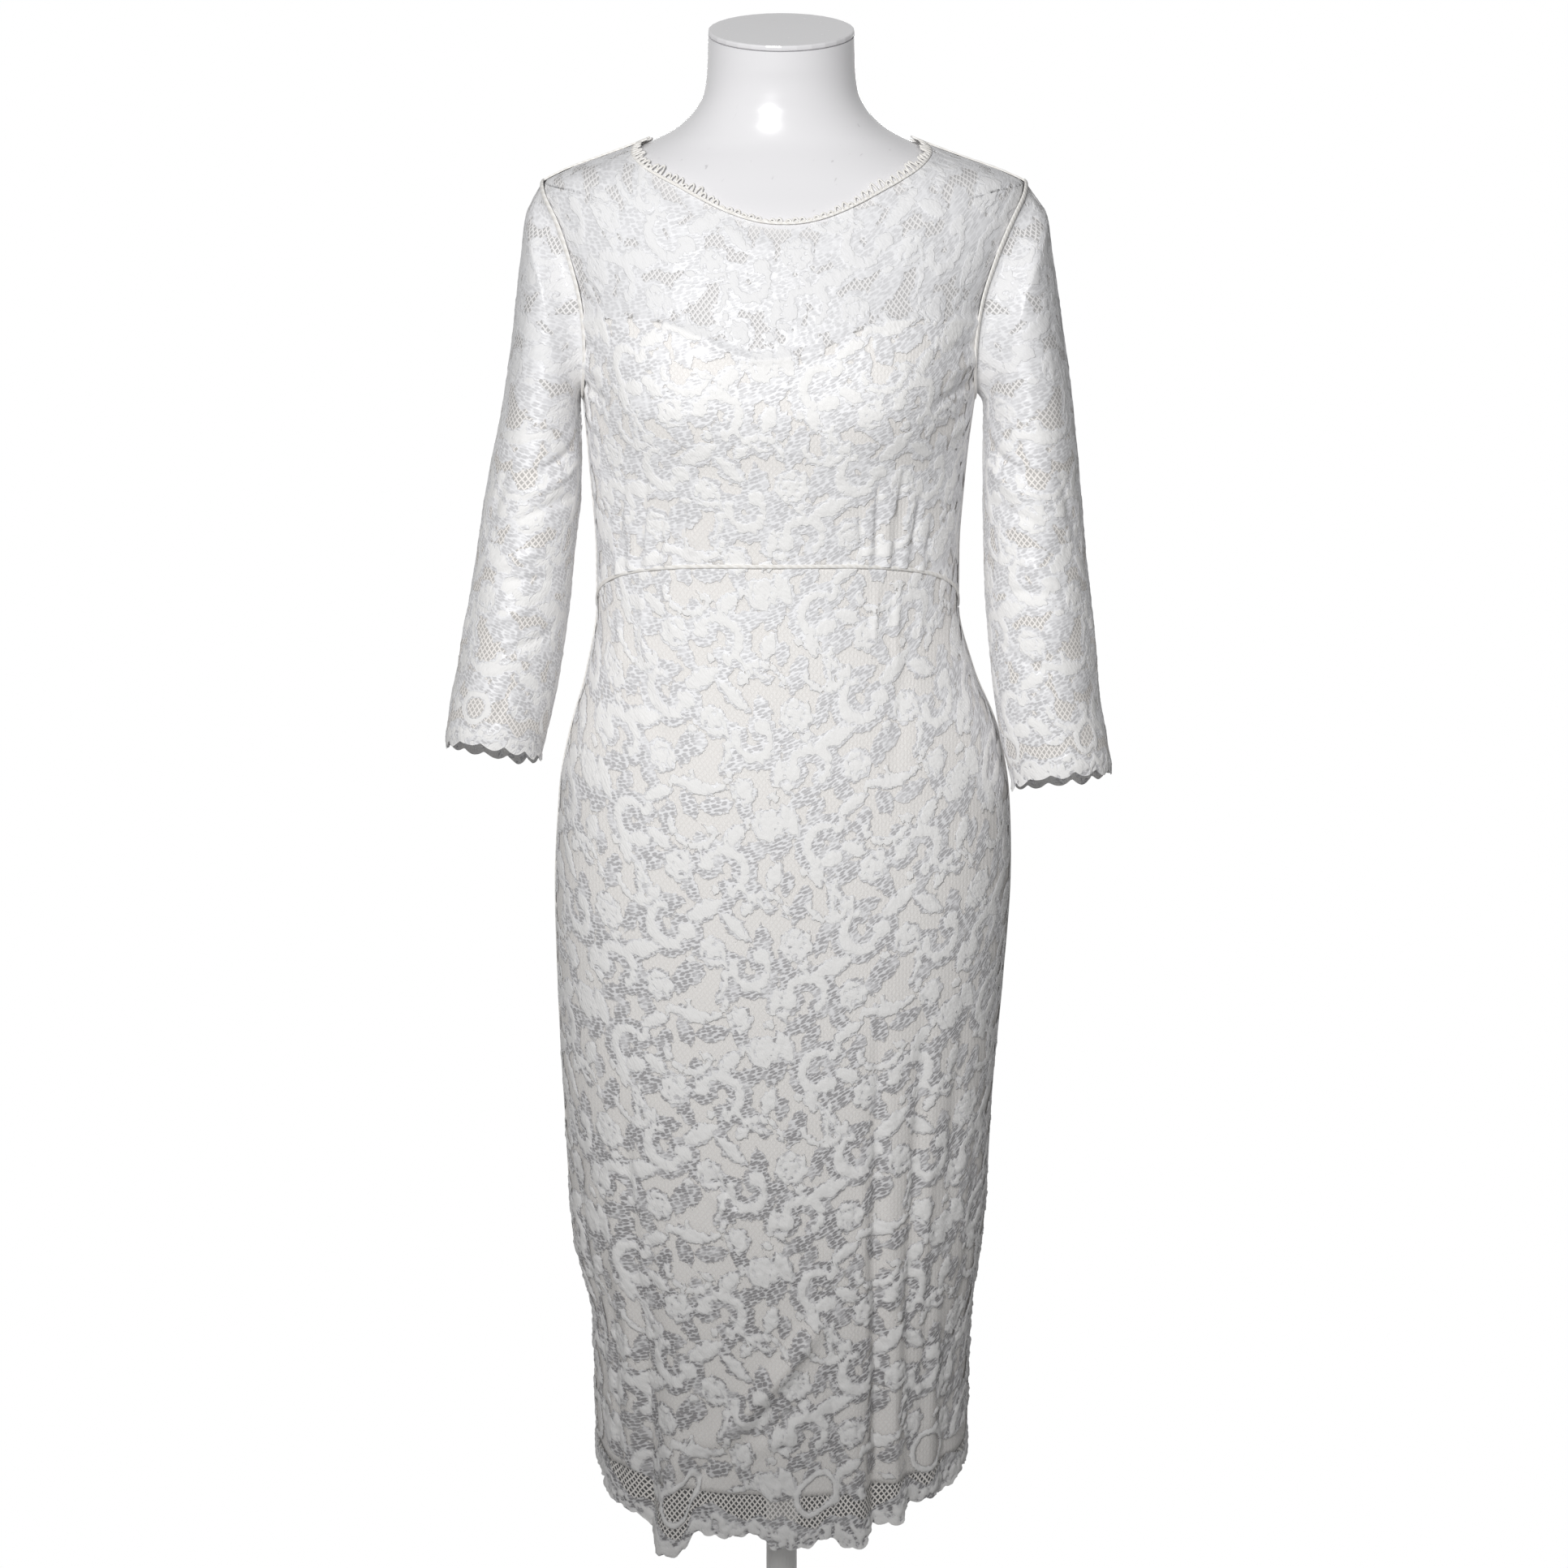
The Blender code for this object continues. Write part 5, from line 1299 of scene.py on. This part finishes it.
def sleeve_ring(side, down, steps):
    """Ring of the sleeve at a place from 0 below the armpit to 1 at the cuff."""
    name = "left" if side > 0 else "right"
    longer = LEFT_SLEEVE_LONGER if side > 0 else 0.0
    top = SLEEVES[0][0]
    bottom = SLEEVES[-1][0]
    place_z = top + (bottom - top) * down
    values = {column: smooth_column(SLEEVES, SLEEVE_COLUMNS, column, np.float64(place_z))
              for column in (name + "_outer", name + "_inner", "middle_y", "half_depth", "cut_y", "cut_x")}
    middle_x = (values[name + "_outer"] + values[name + "_inner"]) / 2
    half_width = (values[name + "_outer"] - values[name + "_inner"]) / 2
    turn = np.arange(steps) * 2.0 * math.pi / steps
    degrees = np.degrees(turn)
    swell = np.zeros(steps)
    for along, angle, long_spread, spread, rise in SLEEVE_FOLDS:
        swell = swell + rise * bump(wrapped(degrees - angle), spread) * bump(down - along, long_spread)
    swell = swell + crease_rise(degrees * SLEEVE_MM_PER_DEGREE, np.full(steps, down * SLEEVE_MM),
                                SLEEVE_CREASES, SLEEVE_MM_PER_DEGREE, SLEEVE_MM,
                                360.0 * SLEEVE_MM_PER_DEGREE)
    out = -half_width * np.cos(turn) - swell * np.cos(turn)
    ahead = -(values["half_depth"] + swell) * np.sin(turn)
    height = place_z - longer * down - values["cut_y"] * ahead + values["cut_x"] * out
    return np.stack([side * (middle_x + out), values["middle_y"] + ahead, height], axis=-1)


def sleeve_skin(side):
    """Rows of the whole sleeve: its cap from the armhole, its length, and the scalloped cuff."""
    cap_rows, upper_rows, lower_rows, steps = SLEEVE_GRID
    name = "left" if side > 0 else "right"
    edge, _, across = armhole_loop(side, steps)
    turn = np.arange(steps) * 2.0 * math.pi / steps
    low = ((1.0 + np.cos(turn)) / 2)[:, None]
    start = edge + across * SEAM_GAP
    half = (COLLAR_HIGH[name] - COLLAR_LOW[name]) / 2
    collar = np.stack([side * (COLLAR_LOW[name] + half - half * np.cos(turn)), -COLLAR_DEPTH * np.sin(turn),
                       ARMHOLE_MIDDLE - COLLAR_DROP - COLLAR_TALL * np.cos(turn)], axis=-1)
    first = sleeve_ring(side, 0.0, steps)
    lead = first - collar
    lead = lead / np.linalg.norm(lead, axis=-1, keepdims=True)
    leave = LEAVE_TIP + (LEAVE_ARMPIT - LEAVE_TIP) * low**2
    arrive = ARRIVE_TIP + (ARRIVE_ARMPIT - ARRIVE_TIP) * low**2
    rows = [start]
    for t in np.linspace(0.0, 1.0, cap_rows + 1)[1:]:
        rows.append(bezier(start, start + across * leave, collar - lead * arrive, collar, t))
    below = sleeve_ring(side, SLEEVE_LEAD, steps) - first
    below = below / np.linalg.norm(below, axis=-1, keepdims=True)
    reach = np.linalg.norm(first - collar, axis=-1, keepdims=True) / 3
    for t in np.linspace(0.0, 1.0, upper_rows + 1)[1:]:
        rows.append(bezier(collar, collar + lead * reach, first - below * reach, first, t))
    for down in np.linspace(0.0, 1.0, lower_rows + 1)[1:]:
        rows.append(sleeve_ring(side, down, steps))
    last = rows[-1]
    step = np.linalg.norm(np.roll(last, -1, axis=0) - last, axis=-1)
    length = np.cumsum(step)
    lobes = round(length[-1] / CUFF_SCALLOP / 2) * 2
    part = length / length[-1]
    # Whole waves round the cuff, so that its two ends meet
    uneven = 1.0 + 0.34 * np.sin(6.0 * math.pi * part + side) + 0.22 * np.sin(10.0 * math.pi * part)
    drop = CUFF_SCALLOP_DROP * uneven * np.abs(np.sin(math.pi * lobes * part))
    for share in (0.25, 0.5, 0.75, 1.0):
        ring = last.copy()
        ring[:, 2] -= (CUFF_BORDER + drop) * share
        rows.append(ring)
    return np.array(rows)


def sleeve_panel(name, side, lace):
    """Lace sleeve, closed along a line at its armpit side."""
    skin = sleeve_skin(side)
    steps = skin.shape[1]
    way = grid_normals(skin, True)
    middle = len(skin) // 2
    outward = skin[middle] - skin[middle].mean(axis=0)
    if np.sum(outward * way[middle]) < 0:
        way = -way
    skin = np.concatenate([skin, skin[:, :1]], axis=1)
    way = np.concatenate([way, way[:, :1]], axis=1)
    down = np.linalg.norm(np.diff(skin, axis=0), axis=-1)
    from_cuff = np.concatenate([np.cumsum(down[::-1], axis=0)[::-1], np.zeros((1, steps + 1))]) * 1000.0
    # Round the sleeve about an upright line that leans in to the shoulder
    line_x = np.interp(skin[..., 2], SLEEVE_LINE_HEIGHTS, SLEEVE_LINE_X)
    line_y = np.interp(skin[..., 2], SLEEVE_LINE_HEIGHTS, SLEEVE_LINE_Y)
    turn = np.unwrap(np.arctan2(line_y - skin[..., 1], line_x - side * skin[..., 0]), axis=1)
    turn = turn - 2.0 * math.pi * np.round(turn[:, :1] / (2.0 * math.pi))
    round_mm = turn / (2.0 * math.pi) * 2.0 * REPEAT_WIDE
    above_cuff = from_cuff - CUFF_BORDER * 1000.0
    piece = lace_piece(name + "_lace", skin, way, round_mm, skin[..., 2] * 1000.0, above_cuff,
                       CUFF_BORDER_LACE, SLEEVE_SPREAD, 1.0, lace)
    return place(piece, "white_lace", name)


def form_piece(plastic):
    """Torso and neck with a rounded lower edge and a tilted flat top."""
    angle = np.arange(FORM_SIDES) * 360.0 / FORM_SIDES

    def depth(height):
        bare = np.clip((height - FORM_BARE_FROM) / FORM_BARE_OVER, 0.0, 1.0)
        neck = np.clip((height - NECK_SIDE) / FORM_NECK_OVER, 0.0, 1.0)
        return (FORM_DEPTH_LINED + (FORM_DEPTH_BARE - FORM_DEPTH_LINED) * bare) * (1.0 - neck)

    lowest = body_point(angle, FORM_LOW, 0.0, False) - body_normal(angle, FORM_LOW, False) * depth(FORM_LOW)
    rings = []
    for part in np.linspace(0.0, 1.0, FORM_EDGE_ROWS + 1)[:-1]:
        turn = part * math.pi / 2
        ring = lowest.copy()
        ring[:, :2] *= 1.0 - FORM_EDGE * (1.0 - math.sin(turn)) / FORM_HALF
        ring[:, 2] = FORM_BOTTOM + FORM_EDGE * (1.0 - math.cos(turn))
        rings.append(ring)
    for height in np.linspace(FORM_LOW, FORM_HIGH, FORM_ROWS):
        rings.append(body_point(angle, height, 0.0, False)
                     - body_normal(angle, height, False) * depth(height))
    for height in np.linspace(FORM_HIGH, NECK_TOP, FORM_NECK_ROWS + 1)[1:]:
        ring = body_point(angle, height, 0.0, False)
        part = (height - FORM_HIGH) / (NECK_TOP - FORM_HIGH)
        ring[:, 2] += math.tan(NECK_TILT) * ring[:, 1] * part
        rings.append(ring)
    rings = np.array(rings)
    lid = [rings[-1] + (rings[-1].mean(axis=0) - rings[-1]) * part for part in (0.1, 0.4, 0.7, 0.97)]
    underside = [rings[0] + (rings[0].mean(axis=0) - rings[0]) * part for part in (0.97, 0.6, 0.2)]
    points = np.concatenate([np.array(underside), rings, np.array(lid)])
    piece = mesh_from_grid("form_shell", points, True, plastic, flip=True)
    piece.data.set_sharp_from_angle(angle=math.radians(40.0))
    return place(piece, "white_gloss_plastic", "form_torso")


# Picot loops on the neckline: from one to the next in mm, and their height and half width in metres
PICOT_PITCH = 5.6
PICOT_TALL = 0.0054
PICOT_HALF_WIDTH = 0.0021
PICOT_LEAN = 0.0003
PICOT_LOW_FROM = 0.030            # they are low at the front centre and tall near the shoulders
PICOT_TALL_FROM = 0.075
NECK_STEPS = 320
BINDING_SINK = 0.0003


def neck_points():
    """Points all round the neckline, with the body's normals."""
    angle = np.linspace(-180.0, 180.0, NECK_STEPS + 1)[:-1]
    height = neck_height(angle)
    return body_point(angle, height, -neck_sink(angle, height)), body_normal(angle, height)


def neck_edge(thread):
    """Bound neckline with the row of picot loops that stands on it."""
    points, normals = neck_points()
    binding = cord_piece("neck_binding", [(points - normals * BINDING_SINK, normals, True)],
                         BINDING_CORD, thread)
    place(binding, "white_lace")
    along = np.roll(points, -1, axis=0) - np.roll(points, 1, axis=0)
    along = along / np.linalg.norm(along, axis=-1, keepdims=True)
    up = np.cross(normals, along)
    up = up * np.sign(up[:, 2:3])
    length = np.cumsum(np.linalg.norm(np.roll(points, -1, axis=0) - points, axis=-1)) * 1000.0
    count = int(length[-1] / PICOT_PITCH)
    loops = []
    turn = np.linspace(0.0, math.pi, 7)
    for k in range(count):
        i = int(np.searchsorted(length, (k + 0.5) * length[-1] / count)) % len(points)
        shoulder = smooth_step(PICOT_LOW_FROM, PICOT_TALL_FROM, abs(points[i][0]))
        uneven = 1.0 + 0.30 * math.sin(2.1 * k) + 0.2 * math.sin(5.3 * k)
        tall = PICOT_TALL * (0.5 + 0.7 * shoulder) * uneven
        path = (points[i] - along[i] * PICOT_HALF_WIDTH * np.cos(turn)[:, None]
                + (up[i] * tall + normals[i] * PICOT_LEAN) * np.sin(turn)[:, None])
        loops.append((path, np.broadcast_to(normals[i], path.shape), False))
    picots = cord_piece("neck_picots", loops, FINE_CORD, thread)
    place(picots, "white_lace")
    return [binding, picots]


# The seams' cords: points along each, and how they lie on the cloth
WAIST_STEPS = 420
WAIST_LIFT = 0.0003               # at the front, where the gathers fill the seam
ARMHOLE_STEPS = 200
ARMHOLE_SHIFT = 0.0010            # towards the bodice, over the gap between the panels
ARMHOLE_LIFT = 0.0002
SIDE_STEPS = 120
SIDE_SEAM_LOW = 0.412


def seams(thread):
    """Raised seams at the waist, the armholes, the shoulders and the sides."""
    made = []
    angle = np.linspace(-180.0, 180.0, WAIST_STEPS + 1)[:-1]
    height = waist_height(angle)
    normal = body_normal(angle, height)
    lift = np.where(np.abs(angle) < 90.0, WAIST_LIFT, 0.0)
    skin = cloth_skin(angle, height, False) + normal * lift[:, None]
    made.append(cord_piece("waist_seam", [(skin, normal, True)], WAIST_CORD, thread))
    paths = []
    for side in (-1, 1):
        outer, normal, across = armhole_loop(side, ARMHOLE_STEPS)
        paths.append((outer - across * ARMHOLE_SHIFT + normal * ARMHOLE_LIFT, normal, True))
    made.append(cord_piece("armhole_seams", paths, ARMHOLE_CORD, thread))
    paths = []
    for side in (-90.0, 90.0):
        for low, high in ((SIDE_SEAM_LOW, WAIST_SIDE - 0.002), (WAIST_SIDE + 0.002, ARMPIT - 0.002),
                          (SHOULDER_TIP + 0.001, NECK_SIDE - 0.001)):
            height = np.linspace(low, high, SIDE_STEPS)
            turn = np.full(SIDE_STEPS, side)
            paths.append((cloth_skin(turn, height, False), body_normal(turn, height), False))
    made.append(cord_piece("side_and_shoulder_seams", paths, FINE_CORD, thread))
    for piece in made:
        place(piece, "white_lace")
    return made


# Build

REPEATS = lace_repeat()
lace = lace_material()
knit = knit_material()
thread = thread_material()
plastic = plastic_material()
paint = paint_material()

front_skirt, front_skirt_lining = skirt_panel("front", 0.0, FRONT_SKIRT_GRID, lace, knit)
back_skirt, back_skirt_lining = skirt_panel("back", 180.0, BACK_SKIRT_GRID, lace, knit)
front_bodice, front_bodice_lining = bodice_panel("front", 0.0, lace, knit)
back_bodice, back_bodice_lining = bodice_panel("back", 180.0, lace, knit)
right_sleeve = sleeve_panel("right_sleeve", -1, lace)
left_sleeve = sleeve_panel("left_sleeve", 1, lace)
neck_trim = neck_edge(thread)
seam_cords = seams(thread)
form = form_piece(plastic)
for node, material in (("form_neck_cap", plastic), ("stand_collar", paint), ("stand_pole", paint),
                       ("stand_base", paint)):
    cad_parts[node].data.materials[0] = material

# Camera of the photograph: just above the shoulders, tipped down
camera_data = bpy.data.cameras.new("camera")
camera_data.lens = 83.0
camera_data.sensor_width = 36.0
camera = bpy.data.objects.new("camera", camera_data)
camera.location = (0.002, -2.8, 1.50)
camera.rotation_euler = (math.radians(79.0), 0.0, 0.0)
bpy.context.scene.collection.objects.link(camera)
bpy.context.scene.camera = camera


LAMP_RADIUS = 0.40


def gridded_light(name, location, aim, power, spread):
    """A soft lamp whose beam fades out to its edge."""
    data = bpy.data.lights.new(name, "SPOT")
    data.shadow_soft_size = LAMP_RADIUS
    data.spot_size = math.radians(spread)
    data.spot_blend = 1.0
    data.energy = power
    lamp = bpy.data.objects.new(name, data)
    lamp.location = location
    way = np.array(aim) - np.array(location)
    lamp.rotation_euler = (math.acos(-way[2] / np.linalg.norm(way)), 0.0, math.atan2(-way[0], way[1]))
    bpy.context.scene.collection.objects.link(lamp)


gridded_light("key_softbox", (-0.55, -2.60, 2.15), aim=(0.0, 0.0, 1.39), power=262.0, spread=50.0)
gridded_light("back_softbox", (0.10, 2.60, 1.35), aim=(0.0, 0.0, 1.10), power=80.0, spread=60.0)

# White studio surround that lights softly: its strength as light, in reflections, and through the net
SURROUND_LIGHT = 0.16
SURROUND_MIRRORED = 0.80
SURROUND_IN_HOLES = 0.06
world = bpy.data.worlds.new("studio")
bpy.context.scene.world = world
world.use_nodes = True
world.node_tree.nodes.clear()
mirrored = add(world.node_tree, "ShaderNodeLightPath", give="Is Glossy Ray")
glow = add(world.node_tree, "ShaderNodeMapRange", {"Value": mirrored, "To Min": SURROUND_LIGHT,
                                                   "To Max": SURROUND_MIRRORED})
seen = add(world.node_tree, "ShaderNodeLightPath", give="Is Camera Ray")
glow = add(world.node_tree, "ShaderNodeMapRange", {"Value": seen, "To Min": glow, "To Max": 1.0})
# Painted shade: seen through the net, the surround is made dark, standing in for the shaded inside of the
# dress
holes = add(world.node_tree, "ShaderNodeLightPath", give="Transparent Depth")
holes = add(world.node_tree, "ShaderNodeMath", {0: holes, 1: seen}, operation="MULTIPLY")
glow = add(world.node_tree, "ShaderNodeMapRange", {"Value": holes, "To Min": glow,
                                                   "To Max": SURROUND_IN_HOLES})
surround = add(world.node_tree, "ShaderNodeBackground", {"Color": linear("FFFFFF"), "Strength": glow})
world_output = world.node_tree.nodes.new("ShaderNodeOutputWorld")
world.node_tree.links.new(surround, world_output.inputs["Surface"])
bpy.context.scene.view_settings.view_transform = "Standard"

# Round pale floor just under the stand
FLOOR_SIDES = 96
FLOOR_RADII = (0.002, 0.3, 0.64)
FLOOR_DROP = 0.0002
turn = np.arange(FLOOR_SIDES) * 2.0 * math.pi / FLOOR_SIDES
floor_rings = np.array([np.stack([r * np.cos(turn), r * np.sin(turn), 0.0 * turn - FLOOR_DROP], axis=-1)
                        for r in FLOOR_RADII])
floor_material, floor_tree, floor_shader = new_material("pale_painted_floor", {"Roughness": 0.6})
floor_grain = add(floor_tree, "ShaderNodeTexNoise", {"Scale": 30.0, "Detail": 3.0})
floor_colour = add(floor_tree, "ShaderNodeMix", {"Factor": floor_grain, 6: linear("E8E8E6"),
                                                 7: linear("EEEEEC")}, give=2, data_type="RGBA")
floor_tree.links.new(floor_colour, floor_shader.inputs["Base Color"])
floor = mesh_from_grid("pale_floor", floor_rings, True, floor_material)
